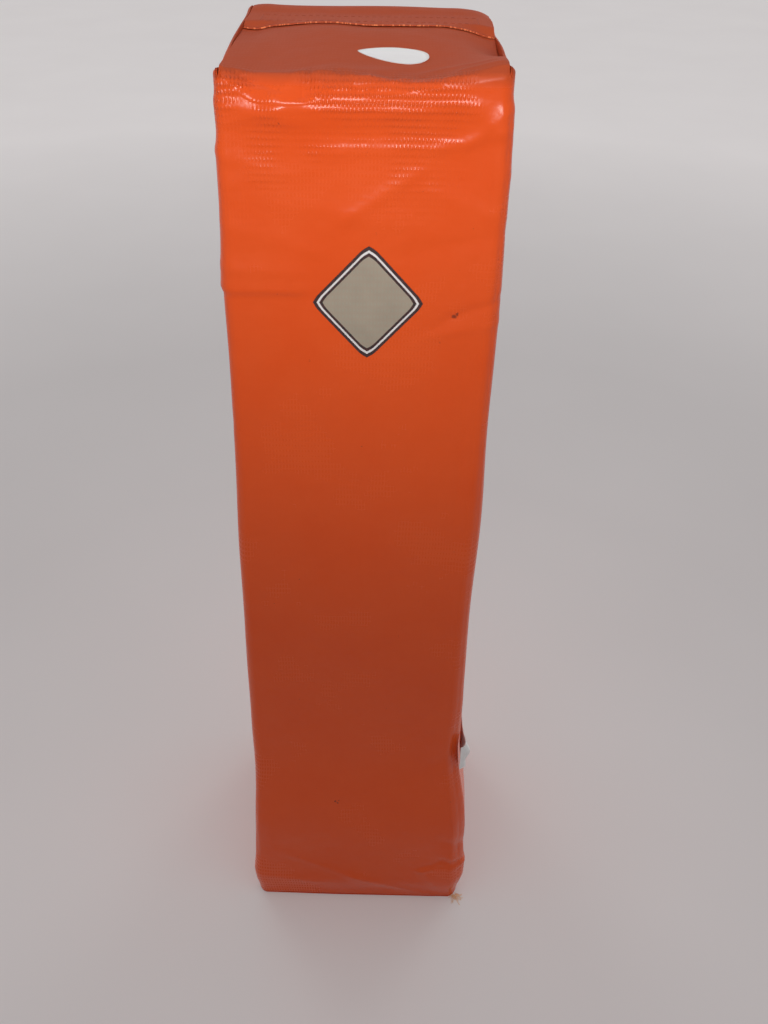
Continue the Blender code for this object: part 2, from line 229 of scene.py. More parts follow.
def fan(start, count, pole, flip=False):
    """Triangles from a ring, whose points are numbered from start, to a pole."""
    column = start + np.arange(count)
    following = start + (np.arange(count) + 1) % count
    ends = (column, following) if flip else (following, column)
    return np.stack([*ends, np.full(count, pole)], -1)


def make_loft(name, rings):
    """A closed body: rings of points joined in order, with a pole at the middle of each end ring."""
    rows, columns = rings.shape[:2]
    poles = np.stack([rings[0].mean(axis=0), rings[-1].mean(axis=0)])
    points = np.concatenate([rings.reshape(-1, 3), poles])
    total = rows * columns
    ends = [fan(0, columns, total), fan(total - columns, columns, total + 1, flip=True)]
    return make_piece(name, points, [grid_quads(rows, columns, True), *ends])


def make_bag(name, rings, thickness):
    """A shell from a pole at its middle out to an open rim, with a second skin behind the first."""
    rows, columns = rings.shape[:2]
    inside = rings - thickness * grid_normals(rings, True)
    poles = np.stack([rings[0].mean(axis=0), inside[0].mean(axis=0)])
    points = np.concatenate([rings.reshape(-1, 3), inside.reshape(-1, 3), poles])
    total = rows * columns
    quads = grid_quads(rows, columns, True)
    rim = rim_quads(rows, columns, True)[1]
    ends = [fan(0, columns, 2 * total), fan(total, columns, 2 * total + 1, flip=True)]
    return make_piece(name, points, [quads, quads[:, ::-1] + total, rim, *ends])


end_taper = 0.45


def make_strands(name, lines, ups, radius, sides=6):
    """Round strands along many lines at once. lines and ups are strands by steps by three."""
    strands, steps = lines.shape[:2]
    along = np.gradient(lines, axis=1)
    along /= np.linalg.norm(along, axis=-1, keepdims=True)
    side = np.cross(along, ups)
    side /= np.linalg.norm(side, axis=-1, keepdims=True)
    up = np.cross(side, along)
    taper = np.ones(steps)
    taper[[0, -1]] = end_taper
    angle = 2 * np.pi * np.arange(sides) / sides
    spread = (radius * taper)[None, :, None, None]
    ring = side[:, :, None] * np.cos(angle)[:, None] + up[:, :, None] * np.sin(angle)[:, None]
    points = (lines[:, :, None] + spread * ring).reshape(-1, 3)
    quads = grid_quads(steps, sides, True)[:, ::-1]
    offsets = (np.arange(strands) * steps * sides)[:, None, None]
    walls = (quads[None] + offsets).reshape(-1, 4)
    start = (np.arange(sides)[None] + offsets[:, 0]).reshape(-1, sides)
    end = (np.arange(sides)[None, ::-1] + offsets[:, 0] + (steps - 1) * sides).reshape(-1, sides)
    return make_piece(name, points, [walls, start, end])


def path_lengths(points):
    """Distance of each point from its column's first point, down the grid's rows."""
    steps = np.linalg.norm(np.diff(points, axis=0), axis=-1)
    return np.concatenate([np.zeros((1, points.shape[1])), np.cumsum(steps, axis=0)])


# %% [markdown]
# ## The shape of the cover
#
# The cover is a square tube with round corners. A place on it is given by two numbers: s, the distance
# round the body from the middle of the front, and z, the height. The tube is wider at the belly, where
# the sand fills it, and the whole post leans a little to one side halfway up, as soft posts do.

# %% The plain tube
flat_run = 2 * (body_half - corner_radius)
arc_run = math.pi / 2 * corner_radius
side_run = flat_run + arc_run
loop_run = 4 * side_run
corner_middle = flat_run / 2 + arc_run / 2

station_heights = np.array([hem_bottom, 18 * mm, 50 * mm, 112 * mm, wall_top])
station_halves = np.array([foot_half, belly_half, belly_half, body_half, body_half])
station_crowns = np.array([foot_crown, belly_crown, belly_crown, 0, 0])
wide_corner_heights = mm * np.array([0, 12, 30, 95, 150, 460])
wide_corner_values = np.array([0.1, 0.6, 1, 1, 0.4, 0]) * wide_corner_extra
wide_corner_reach = 26 * mm
edge_share, folded_edge_share = 0.25, 0.65

lean_heights = mm * np.array([0, 60, 100, 140, 200, 270, 350, 440, 460])
lean_across = mm * np.array([0.3, 0.0, -1.0, -1.9, -2.1, -1.3, -0.6, 0.0, 0.0])
lean_back = mm * np.array([0.0, 0.0, 0.2, 0.6, 0.8, 0.6, 0.2, 0.0, 0.0])


def smooth(share):
    """Eases a share from 0 to 1: 3 t squared less 2 t cubed."""
    share = np.clip(share, 0, 1)
    return share * share * (3 - 2 * share)


def bell(away, width):
    """1 at no distance, falling off as a bell: e to the minus of the squared distance in widths."""
    return np.exp(-((away / width) ** 2))


def eased(at, knots, values):
    """Goes from value to value, level at each knot."""
    at = np.clip(at, knots[0], knots[-1])
    index = np.clip(np.searchsorted(knots, at, side="right") - 1, 0, len(knots) - 2)
    share = smooth((at - knots[index]) / (knots[index + 1] - knots[index]))
    return values[index] + (values[index + 1] - values[index]) * share


def curved(at, knots, values):
    """A smooth line through values: a cubic on each span, with slopes from the neighbouring knots."""
    slopes = np.gradient(values, knots)
    at = np.clip(at, knots[0], knots[-1])
    index = np.clip(np.searchsorted(knots, at, side="right") - 1, 0, len(knots) - 2)
    span = knots[index + 1] - knots[index]
    t = (at - knots[index]) / span
    start = (2 * t**3 - 3 * t**2 + 1) * values[index] + (t**3 - 2 * t**2 + t) * span * slopes[index]
    end = (3 * t**2 - 2 * t**3) * values[index + 1] + (t**3 - t**2) * span * slopes[index + 1]
    return start + end


def around(s, middle=0):
    """Signed distance round the body from a place to s, the shorter way."""
    return np.mod(s - middle + loop_run / 2, loop_run) - loop_run / 2


def loop_frame(s):
    """Splits a distance round the body into a place on the inner square, a normal and the side's swell."""
    run = np.mod(s + flat_run / 2, loop_run)
    side = np.minimum(np.floor(run / side_run), 3)
    local = run - side * side_run
    t = np.clip(-1 + 2 * local / flat_run, -1, 1)
    turn = np.clip((local - flat_run) / corner_radius, 0, math.pi / 2)
    cos, sin = np.cos(side * math.pi / 2), np.sin(side * math.pi / 2)
    out, round_it = np.cos(turn), np.sin(turn)
    square = np.stack([t * cos + sin, t * sin - cos], -1)
    normal = np.stack([round_it * cos + out * sin, round_it * sin - out * cos], -1)
    return square, normal, 1 - t * t


def corner_window(s, corner, reach):
    """1 over the arc of a numbered corner (0 is the front right one), easing to 0 over a reach."""
    away = np.abs(around(s, corner_middle + corner * side_run))
    return smooth(1 - (away - arc_run / 2) / reach)


def corner_radius_at(s, z):
    """Radius of the corners: larger at the front right of the belly, where the cloth is folded flat."""
    extra = eased(z, wide_corner_heights, wide_corner_values)
    return corner_radius + corner_window(s, 0, wide_corner_reach) * extra


def flattened(s, z):
    """How far a corner's arc is drawn in towards its chord, which leaves an edge at each side of it."""
    run = np.mod(s + flat_run / 2, side_run) - flat_run
    angle = np.clip(run / corner_radius, 0, math.pi / 2) - math.pi / 4
    depth = 1 - math.cos(math.pi / 4) / np.cos(angle)
    folded = corner_window(s, 0, mm) * eased(z, wide_corner_heights, wide_corner_values) / wide_corner_extra
    return -depth * (edge_share + folded_edge_share * folded) * corner_radius_at(s, z)


def lean(z):
    """How far the post leans at a height, across and back."""
    return np.stack([curved(z, lean_heights, lean_across), curved(z, lean_heights, lean_back)], -1)


# %% [markdown]
# ## Folds
#
# Coated cloth is stiff. Where it is pulled over foam it stays flat, and then breaks in a few long, soft
# creases. Each crease here is a straight stroke on the wall: the cloth rises or falls by its height at the
# stroke and settles again over its width. Longer swells come from a few sine waves with a fixed seed.

# %% Creases of the walls
front_creases = mm * np.array([
    # from s, z to s, z, then width and height
    (-50, 443, -28, 437, 3.5, 0.75),
    (-46, 436, -24, 443, 2.4, 0.50),
    (-30, 441, 6, 443, 2.2, 0.65),
    (8, 440, 40, 445, 2.4, 0.65),
    (38, 430, 50, 441, 2.6, 0.60),
    (-30, 437, -8, 439, 3.0, 0.30),
    (36, 446, 47, 436, 3.5, 0.55),
    (12, 441, 30, 443, 3.0, 0.30),
    (-52, 424, -38, 420, 3.0, 0.45),
    (-12, 426, 28, 428, 2.6, 0.55),
    (28, 428, 49, 434, 2.4, 0.60),
    (18, 417, -4, 402, 3.2, 0.60),
    (-44, 414, -26, 417, 3.5, 0.40),
    (-34, 407, 12, 399, 4.0, 0.35),
    (26, 411, 46, 404, 4.0, 0.35),
    (-46, 396, -22, 389, 4.0, 0.30),
    (-50, 380, -28, 379, 3.2, 0.45),
    (22, 388, 46, 394, 4.0, -0.35),
    (36, 361, 52, 368, 1.6, -0.55),
    (37, 360, 22, 352, 3.0, -0.35),
    (24, 352, 51, 358, 2.5, 0.40),
    (-15, 323, -14, 312, 2.0, 0.15),
    (-52, 307, -40, 305, 2.0, -0.25),
    (-48, 60, -56, 40, 4.0, 0.50),
    (-32, 36, -2, 20, 3.0, 0.45),
    (-2, 20, 36, 3, 3.0, 0.45),
    (-20, 14, -56, 20, 2.5, 0.25),
    (33, 27, 42, 32, 1.4, 0.55),
    (42, 32, 58, 26, 1.2, 0.35),
    (34, 29, 44, 34, 1.6, -0.55),
    (44, 34, 60, 28, 1.6, -0.60),
    (54, 44, 46, 50, 3.0, -0.60),
    (50, 112, 40, 104, 4.0, -0.40),
])
corner_fan_ranges = ((40, 50), (14, 34), (415, 436), (8, 30), (2.2, 4.0), (0.15, 0.45))
corner_fan_count = 3
scattered_creases = (
    # how many, then ranges of s, z, run and rise, the width, and the range of height: at the waist,
    # at the foot, and over the middle
    (5, (-46, 46), (92, 128), (-26, 26), (-7, 7), 3.5, (-0.5, 0.5)),
    (6, (-50, 50), (6, 30), (-12, 12), (8, 26), 3.0, (-0.5, 0.6)),
    (4, (-46, 46), (150, 390), (-40, 40), (-20, 20), 5.0, (-0.35, 0.35)),
)
crease_seed, wave_seed = 7, 18
wave_count, wave_height = 14, 0.30 * mm
stroke_power = 1.5
stroke_fade = 2.2


def draw_side_creases():
    """Creases of the three walls that the photograph doesn't show, from the top corners and the waist."""
    draw = np.random.default_rng(crease_seed)
    rows = []
    for middle in (-side_run, side_run, 2 * side_run):
        for end in (-1, 1):
            drawn = [draw.uniform(*limits, corner_fan_count) * mm for limits in corner_fan_ranges]
            away, reach, z, drop, width, height = drawn
            s = middle + end * away
            rows += list(zip(s, z, s - end * reach, z - drop, width, height))
        for count, *places, width, heights in scattered_creases:
            away, z, run, rise = [draw.uniform(*limits, count) * mm for limits in places]
            s = middle + away
            height = draw.uniform(*heights, count) * mm
            rows += list(zip(s, z, s + run, z + rise, np.full(count, width * mm), height))
    return np.array(rows)


def stroke(across, along, row):
    """One straight stroke: its height over a power of one plus the squared distance in widths."""
    across_0, along_0, across_1, along_1, width, height = row
    run, rise = across_1 - across_0, along_1 - along_0
    length = math.hypot(run, rise)
    share = ((across - across_0) * run + (along - along_0) * rise) / length
    aside = ((across - across_0) * rise - (along - along_0) * run) / length
    past = np.maximum(np.maximum(-share, share - length), 0)
    return height / (1 + (aside / width) ** 2) ** stroke_power * bell(past, stroke_fade * width)


all_creases = np.concatenate([front_creases, draw_side_creases()])
wave_draw = np.random.default_rng(wave_seed)
wave_turns = wave_draw.integers(1, 9, wave_count)
wave_rises = wave_draw.uniform(-5, 5, wave_count)
wave_phases = wave_draw.uniform(0, 2 * math.pi, wave_count)
wave_heights = wave_height / np.sqrt(wave_turns)
print("creases", len(all_creases))


def swells(s, z):
    """Long, low waves round and up the post."""
    turn = 2 * math.pi / loop_run
    climb = 2 * math.pi / wall_top
    total = np.zeros(np.broadcast(s, z).shape)
    for turns, rise, phase, height in zip(wave_turns, wave_rises, wave_phases, wave_heights):
        total = total + height * np.sin(turns * turn * s + rise * climb * z + phase)
    return total


# %% The valley under the top, the shelf on the left, and the slack of the sides
valley_height = 431 * mm
valley_least, valley_more, valley_reach = 0.5 * mm, 0.8 * mm, 70 * mm
valley_above, valley_below = 6 * mm, 30 * mm
shelf_height, shelf_depth = 370.8 * mm, 1.05 * mm
shelf_above, shelf_below = 13 * mm, 1.5 * mm
shelf_right, shelf_right_ease = -15 * mm, 12 * mm
shelf_left, shelf_left_ease = -75 * mm, 20 * mm

room_heights = mm * np.array([0, 6, 19, 44, 77, 108, 151, 191, 239, 283, 323, 359, 393, 423, 440, 450])
left_room = mm * np.array([0, 0, -0.4, -2.2, -1.2, 0.5, -0.5, -0.5, 0.4, -0.4, 0.4, 0.4, 0.2, 1.3, 0.9, 0.3])
right_room = mm * np.array([0.3, 0.3, 0.9, 0.3, 1.2, 0.0, 0.3, 1.4, 1.4, 2.0, 1.6, 0.8, 1.1, 2.0, 1.0, 0.4])
room_start, room_start_ease, room_end_ease = 6 * mm, 10 * mm, 12 * mm


def top_valley(s, z):
    """The cloth is drawn in under the fold, sharply from above and slowly from below."""
    depth = valley_least + valley_more * smooth(1 - np.abs(s) / valley_reach)
    reach = np.where(z > valley_height, valley_above, valley_below)
    return -depth * bell(z - valley_height, reach)


def joint_shelf(s, z):
    """A step on the left of the front: the cloth stands out above a level line and drops in below it."""
    window = smooth((shelf_right - s) / shelf_right_ease) * smooth((s - shelf_left) / shelf_left_ease)
    above = np.exp(-(z - shelf_height) / shelf_above)
    return shelf_depth * window * np.where(z > shelf_height, above, bell(z - shelf_height, shelf_below))


def side_room(s, z):
    """Slack of the two side walls, fitted to the outline in the photograph."""
    across = around(s)
    beside = smooth((np.abs(across) - flat_run / 2 + room_start) / room_start_ease)
    beside = beside * smooth((1.5 * side_run - np.abs(across)) / room_end_ease)
    room = np.where(across > 0, curved(z, room_heights, right_room), curved(z, room_heights, left_room))
    return beside * room


# %% The corner seam and the folded foot
seam_depth, seam_width = 0.45 * mm, 0.6 * mm
pucker_pitch, pucker_drift = 2.1 * mm, 17 * mm
ear_height, ear_edge_ease, ear_top = 0.8 * mm, 3.0 * mm, 31 * mm
ear_peak, ear_bow = 44 * mm, 0.010 / mm
ear_start, ear_slant, ear_start_ease = 30 * mm, 0.6, 8 * mm
ear_knee, ear_end, ear_end_ease = 20 * mm, 66 * mm, 10 * mm
ear_low_ease = 14 * mm


def corner_seam(s, z):
    """A narrow groove with soft puckers along the front right corner, where the cover is sewn up."""
    pucker = 0.7 + 0.3 * np.sin(z / pucker_pitch + 2 * np.sin(z / pucker_drift))
    return -seam_depth * pucker * bell(s - corner_middle, seam_width)


def foot_ear(s, z):
    """The corner of cloth folded round the front right foot, thicker than the wall over it."""
    edge = ear_top - ear_bow * (s - ear_peak) ** 2
    under = smooth((edge - z) / ear_edge_ease)
    beside = smooth((s - ear_start - ear_slant * (ear_knee - z)) / ear_start_ease)
    beside = beside * smooth((ear_end - s) / ear_end_ease)
    return ear_height * under * beside * (0.4 + 0.6 * smooth(z / ear_low_ease))


# %% All the relief together
fade_low, fade_high = 441 * mm, 447 * mm
settle_low, settle_high = 2 * mm, 10 * mm
settled_least = 0.35


def relief(s, z):
    """All folds together, fading out under the top fold, where the flaps take over."""
    total = swells(s, z) + top_valley(s, z) + joint_shelf(s, z) + foot_ear(s, z) + side_room(s, z)
    total = total + corner_seam(s, z)
    for row in all_creases:
        total = total + stroke(row[0] + around(s, row[0]), z, row)
    settle = smooth((z - settle_low) / (settle_high - settle_low))
    fade = 1 - smooth((z - fade_low) / (fade_high - fade_low))
    return total * fade * (settled_least + (1 - settled_least) * settle)


def wall_point(s, z, lift=0.0, inset=0.0):
    """Place on the cover: the inner square, plus radius, swell, relief and lift along the normal."""
    s, z, lift, inset = np.broadcast_arrays(s, z, lift, inset)
    half = eased(z, station_heights, station_halves)
    radius = corner_radius_at(s, z)
    crown = eased(z, station_heights, station_crowns)
    square, normal, swell = loop_frame(s)
    out = radius + crown * swell + relief(s, z) + flattened(s, z) + lift
    place = square * (half - radius - inset)[..., None] + normal * out[..., None] + lean(z)
    return np.concatenate([place, z[..., None]], -1)


sample = relief(np.linspace(0, loop_run, 200), wall_top * 0.9)
print("relief near the top from", round(sample.min() / mm, 2), "mm")

# %% [markdown]
# ## The top
#
# Two gussets fold in from the sides, the long front flap folds back over them, and the short closing
# flap comes over from the rear and is held by hook-and-loop tape. The front fold isn't a sharp bend:
# the cloth breaks once, low on the wall, leans back, and breaks again at the top.

# %% Heights across the top
knot_x = mm * np.array([-52.5, -48, -44, -40, -32, -24, -15, 0, 10, 20, 30, 40, 47, 52.5])
break_z = mm * np.array(
    [451, 450, 447.5, 445, 443.8, 443.8, 444.8, 445.4, 446.6, 448.4, 450.2, 451.6, 453, 454]
)
front_z = mm * np.array(
    [454.8, 454.2, 453.4, 452.6, 452.4, 452.6, 453.2, 452.0, 451.2, 451.0, 452.8, 454.8, 456.6, 457.2]
)
edge_z = mm * np.array(
    [456.4, 455.6, 455.6, 456.5, 457.5, 458.3, 458.6, 457.8, 457.9, 458.0, 458.0, 456.4, 454.3, 453.4]
)
rear_z = mm * np.array(
    [458.2, 459.0, 459.2, 459.0, 458.8, 458.8, 458.9, 459.2, 459.3, 459.2, 459.0, 458.8, 457.6, 455.0]
)
cut_below_break = 1.5 * mm
side_cut = 449.6 * mm
edge_y = lid_low.y
rear_y = lid_high.y
lid_middle = lid_high.z + 0.5 * mm
tape_bed = front_high.z - 2.8 * mm
flap_x_reach = front_high.x
front_end_y = front_high.y

knot_y = mm * np.array([-52.5, -46, -38, -22, -3, 15, 38, 46, 52.5])
left_z = mm * np.array([455.0, 453.5, 452.6, 454.4, 456.2, 457.0, 458.0, 459.0, 456.5])
right_z = mm * np.array([457.0, 456.2, 454.8, 454.2, 454.6, 453.6, 452.9, 454.6, 455.0])

# %% The two flaps' heights
dent_x, dent_y, dent_drift = 11 * mm, 14 * mm, 17 * mm
slow_dent_x, slow_dent_y = 23 * mm, 19 * mm
dent_depth, slow_dent_depth = 0.28 * mm, 0.35 * mm
sag_depth, sag_start, sag_ease = 2.4 * mm, 36 * mm, 14 * mm
sag_middle, sag_width = -9 * mm, 15 * mm
bed_ease = 4.5 * mm
lid_fold = 3 * mm
lid_side_drop, lid_side_start, lid_side_ease = 1.0 * mm, 43 * mm, 8 * mm
lid_rise_share, lid_edge_share = 0.45, 0.16


def dents(x, y):
    """Soft hollows in the flat cloth of the top."""
    wave = np.sin(x / dent_x + 1.3 * np.sin(y / dent_drift) + 0.6) * np.cos(y / dent_y + 0.4)
    slow = np.sin(x / slow_dent_x - y / slow_dent_y + 2.1)
    return dent_depth * wave + slow_dent_depth * slow


def front_flap_height(x, y, fold_y):
    """Height of the front flap from its fold to its ridge, and down into the bed of the tapes."""
    front = curved(x, knot_x, front_z)
    ridge = curved(x, knot_x, edge_z) - cloth - gap
    share = (y - fold_y) / (edge_y - fold_y)
    rise = front + (ridge - front) * smooth(share)
    sag = sag_depth * smooth((x - sag_start) / sag_ease) * bell(y - sag_middle, sag_width)
    window = smooth(share * 4) * smooth((1 - share) * 5)
    dip = smooth((y - edge_y) / bed_ease)
    return np.where(y > edge_y, ridge + (tape_bed - ridge) * dip, rise - sag + dents(x, y) * window)


def lid_height(x, y):
    """Height of the closing flap from the rear fold to its free edge."""
    share = (rear_y - lid_fold - y) / (rear_y - lid_fold - edge_y)
    rear = curved(x, knot_x, rear_z)
    edge = curved(x, knot_x, edge_z)
    sides = lid_side_drop * smooth((x - lid_side_start) / lid_side_ease)
    middle = lid_middle - sides + 0.5 * dents(x, y) * smooth((0.5 - np.abs(share - 0.5)) * 6)
    height = rear + (middle - rear) * smooth(share / lid_rise_share)
    return height + (edge - height) * smooth((share - 1 + lid_edge_share) / lid_edge_share)


def start_of_front(x):
    """Height at which the front flap takes over from the wall."""
    return np.minimum(curved(x, knot_x, break_z) - cut_below_break, side_cut)


# %% Folding a wall into a flap
fold_rows = 34
least_band = 0.5 * mm


def folded_path(start, first_break, top, first_tilt, first_width, last_width):
    """Inward distance and height of a fold, by adding up small steps at a growing tilt.

    The cloth goes straight up, tilts to first_tilt at first_break, and turns level at the top.
    Each input is one number a column.
    """
    straight = first_break - start
    band = np.maximum(top - first_break, least_band) / np.cos(first_tilt)
    length = straight + band + last_width / 2
    run = length * np.linspace(0, 1, fold_rows)[:, None]
    tilt = first_tilt * smooth((run - straight) / first_width + 0.5)
    tilt = tilt + (math.pi / 2 - first_tilt) * smooth((run - straight - band) / last_width + 0.5)
    middle = (tilt[1:] + tilt[:-1]) / 2
    step = np.diff(run, axis=0)
    inward = np.concatenate([0 * run[:1], np.cumsum(step * np.sin(middle), axis=0)])
    up = np.concatenate([0 * run[:1], np.cumsum(step * np.cos(middle), axis=0)])
    return inward, start + up * (top - start) / up[-1]


# %% [markdown]
# ## The cover's four walls
#
# One sheet of cloth goes round the post. Its bottom margin is turned in under the foot. The grid is
# finer on the front, near the top and at the foot, where the small folds are.

# %% Lay out the columns and the rows
corner_steps, flap_corner_steps = 9, 3
front_steps, side_steps = 76, 44
column_slip = 1e-9
hem_width = 12 * mm
foot_bend = 1.1 * mm
hem_insets = np.array([hem_width, 8 * mm, 4 * mm, foot_bend])
flat_lift = hem_width + foot_bend * (math.pi / 2 - 2) - hem_bottom
wall_shares = np.concatenate([
    np.linspace(0, 0.08, 32, endpoint=False),
    np.linspace(0.08, 0.25, 38, endpoint=False),
    np.linspace(0.25, 0.78, 50, endpoint=False),
    np.linspace(0.78, 1, 70),
])


def loop_columns():
    """Distances round the body of all columns, from the middle of the rear and back to it."""
    runs = []
    for side in range(-2, 3):
        middle = side * side_run
        steps = front_steps if side == 0 else side_steps
        runs.append(middle + flat_run * np.linspace(-0.5, 0.5, steps, endpoint=False))
        runs.append(middle + flat_run / 2 + arc_run * np.arange(corner_steps) / corner_steps)
    runs = np.concatenate(runs)
    half = loop_run / 2
    return runs[(runs >= -half - column_slip) & (runs < half - column_slip)]


def cut_height(s):
    """Height at which the walls end and the flaps begin, lower in the middle of the front."""
    on_front = np.abs(s) <= flat_run / 2
    return np.where(on_front, start_of_front(np.clip(s, -flat_run / 2, flat_run / 2)), side_cut)


columns = loop_columns()
print("columns", len(columns), "rows", len(wall_shares))


# %% Make the walls
def make_walls():
    """The walls: hem rows under the foot, a small bend, then rows up to the flaps."""
    bend = np.linspace(0, math.pi / 2, 6)[1:]
    bend_insets = foot_bend * (1 - np.sin(bend))
    bend_heights = hem_bottom + foot_bend * (1 - np.cos(bend))
    low = bend_heights[-1]
    rise = low + wall_shares[1:, None] * (cut_height(columns)[None] - low)
    z = np.concatenate([
        np.full((len(hem_insets), len(columns)), hem_bottom),
        np.repeat(bend_heights[:, None], len(columns), 1),
        rise,
    ])
    insets = np.concatenate([hem_insets, bend_insets, np.zeros(len(rise))])[:, None]
    outside = wall_point(columns[None], np.maximum(z, hem_bottom), inset=insets)
    flat_s = np.append(columns, columns[0] + loop_run)
    hem_run = np.concatenate([hem_width - hem_insets, hem_width - foot_bend + foot_bend * bend])
    flat_z = np.concatenate([np.repeat(hem_run[:, None], len(columns), 1), rise + flat_lift])
    flat_z = np.concatenate([flat_z, flat_z[:, :1]], 1)
    flat_map = np.stack([np.repeat(flat_s[None], len(z), 0), flat_z], -1)
    return make_sheet("cover_walls", outside, flat_map, cloth, wrap=True)


walls = make_walls()
print("walls", len(walls.data.vertices), "points")

# %% [markdown]
# ## Front flap, closing flap and gussets
#
# Each starts at the wall's top row, so that no seam shows, and goes over its fold. The columns are the
# wall's own columns, so both meshes meet point by point.

# %% Wrinkles of the slanting band
band_creases = mm * np.array([
    # from x, run to x, run, then width and height
    (-21, 1, -19, 12, 1.8, -1.0),
    (-31, 3, -24, 11, 2.4, 0.55),
    (-13, 2, -17, 11, 2.0, 0.65),
    (-12, 4, 0, 9, 1.8, 0.50),
    (-1, 4, -8, 12, 2.0, -0.65),
    (3, 2.5, 13, 8, 1.8, 0.50),
    (15, 5, 8, 12, 2.2, -0.55),
    (-47, 2, -34, 6, 2.2, 0.55),
    (-45, 8, -30, 6, 1.8, -0.55),
    (24, 2, 30, 9, 2.0, -0.35),
    (31, 3, 47, 5, 2.2, 0.60),
    (36, 10, 49, 13, 3.0, 0.85),
    (24, 15, 44, 18, 2.6, 0.60),
    (-40, 14, -20, 20, 4.0, -0.40),
    (-6, 16, 22, 22, 4.5, 0.45),
])
wrinkle_start, wrinkle_side, wrinkle_ease = 0.6 * mm, 51.5 * mm, 3 * mm


def add_wrinkles(points, x):
    """Moves a flap's points along its normals. The wall's row and the side edges stay as they are."""
    run = path_lengths(points)
    height = sum(stroke(x[None], run, row) for row in band_creases)
    height = height * smooth((run - wrinkle_start) / wrinkle_ease)
    height = height * smooth((wrinkle_side - np.abs(x[None])) / wrinkle_ease)
    return points + height[..., None] * grid_normals(points)


def make_flap(name, points, s, start_z):
    """The sheet of a flap. On the flat cloth its columns are the wall's and its rows follow its length."""
    flat_z = start_z[None] + flat_lift + path_lengths(points)
    flat_map = np.stack([np.repeat(s[None], len(points), 0), flat_z], -1)
    return make_sheet(name, points, flat_map, cloth)


# %% Make the front flap
flap_reach = flat_run / 2 + arc_run * flap_corner_steps / corner_steps
column_match = 1e-6
flap_s = columns[np.abs(columns) <= flap_reach + column_match]
band_tilt, corner_tilt = 36, 10
corner_start, corner_ease = 36 * mm, 14 * mm
least_fold = 2 * mm
break_width, top_width, corner_top_width = 2.2 * mm, 3.6 * mm, 1.2 * mm
side_wave, side_wave_pitch = 0.004, 13 * mm
flap_shares = np.concatenate([np.linspace(0, 0.76, 56)[1:], np.linspace(0.76, 1, 22)[1:]])[:, None]


def make_front_flap():
    """Wall, slanting band, fold, the long top up to its ridge, and the bed under the tapes."""
    base = wall_point(flap_s, cut_height(flap_s))
    x = base[:, 0]
    near_corner = smooth((np.abs(x) - corner_start) / corner_ease)
    tilt = np.radians(band_tilt + corner_tilt * near_corner)
    tops = curved(x, knot_x, front_z)
    breaks = np.minimum(curved(x, knot_x, break_z), tops - least_fold)
    last_width = top_width - corner_top_width * near_corner
    inward, z = folded_path(base[:, 2], breaks, tops, tilt, break_width, last_width)
    fold = np.stack([np.repeat(x[None], fold_rows, 0), base[:, 1] + inward, z], -1)
    fold_y = fold[-1, :, 1]
    y = fold_y + flap_shares * (front_end_y - fold_y)
    top_x = x * (1 + side_wave * np.sin(y / side_wave_pitch))
    top = np.stack([top_x, y, front_flap_height(np.repeat(x[None], len(y), 0), y, fold_y)], -1)
    points = add_wrinkles(np.concatenate([fold, top]), x)
    return make_flap("front_flap", points, flap_s, base[:, 2]), fold_y


front_flap, fold_line_y = make_front_flap()
fold_line_x = wall_point(flap_s, side_cut)[:, 0]
print("front flap", len(front_flap.data.vertices), "points")

# %% Make the closing flap
rear_tilt = math.radians(45)
rear_bend, rear_band = 4.4 * mm, 2.6 * mm
ragged_depth, ragged_pitch, ragged_drift = 0.12 * mm, 1.9 * mm, 5.3 * mm
lid_shares = 1 - (1 - np.linspace(0, 1, 50)[1:, None]) ** 1.5
least_edge_mm = 0.01


def make_closing_flap():
    """Wall, rear fold, and the short top to its free edge, with each point's distance from that edge."""
    s = flap_s + 2 * side_run
    base = wall_point(s, side_cut)
    x = base[:, 0]
    tops = curved(x, knot_x, rear_z)
    inward, z = folded_path(base[:, 2], tops - rear_band, tops, rear_tilt + 0 * x, rear_bend, rear_bend)
    fold = np.stack([np.repeat(x[None], fold_rows, 0), base[:, 1] - inward, z], -1)
    fold_y = fold[-1, :, 1]
    ragged = ragged_depth * np.sin(x / ragged_pitch) * np.sin(x / ragged_drift)
    y = fold_y + lid_shares * (edge_y + ragged - fold_y)
    across = np.repeat(x[None], len(y), 0)
    height = lid_height(across, y)
    height = fold[-1, :, 2] + (height - fold[-1, :, 2]) * smooth(lid_shares * 3)
    points = np.concatenate([fold, np.stack([across, y, height], -1)])
    piece = make_flap("closing_flap_cloth", points, s, base[:, 2])
    left = path_lengths(points[::-1])[::-1].ravel()
    left = np.maximum(left / mm, least_edge_mm)
    set_edge_distance(piece, [left, left])
    return piece


closing_flap = make_closing_flap()
print("closing flap", len(closing_flap.data.vertices), "points")

# %% Make the gussets
side_clearance = 0.2 * mm
gusset_bend, gusset_band = 2.2 * mm, 1.4 * mm
gusset_corner, gusset_short, gusset_margin = 5 * mm, 3.3 * mm, 2 * mm
gusset_drop_start, gusset_drop_ease, least_run = 2.2 * mm, 5 * mm, 0.4 * mm
gusset_shares = np.linspace(0, 1, 26)[1:, None] ** 1.6


def under_flaps(x, y):
    """Underside of the flaps over a place, less a gap. There is none beyond the flaps' side edges."""
    fold_y = np.interp(x, fold_line_x, fold_line_y)
    share = np.clip((y + body_half) / (fold_y + body_half), 0, 1)
    front = curved(x, knot_x, front_z)
    breaks = np.minimum(curved(x, knot_x, break_z), front - least_fold)
    band = breaks + (front - breaks) * share - 0.6 * cloth
    top = np.where(y < fold_y, band, front_flap_height(x, y, fold_y))
    top = np.where(y > front_end_y, lid_height(x, y), top)
    return np.where(np.abs(x) > flap_x_reach + side_clearance, np.inf, top - cloth - gap)


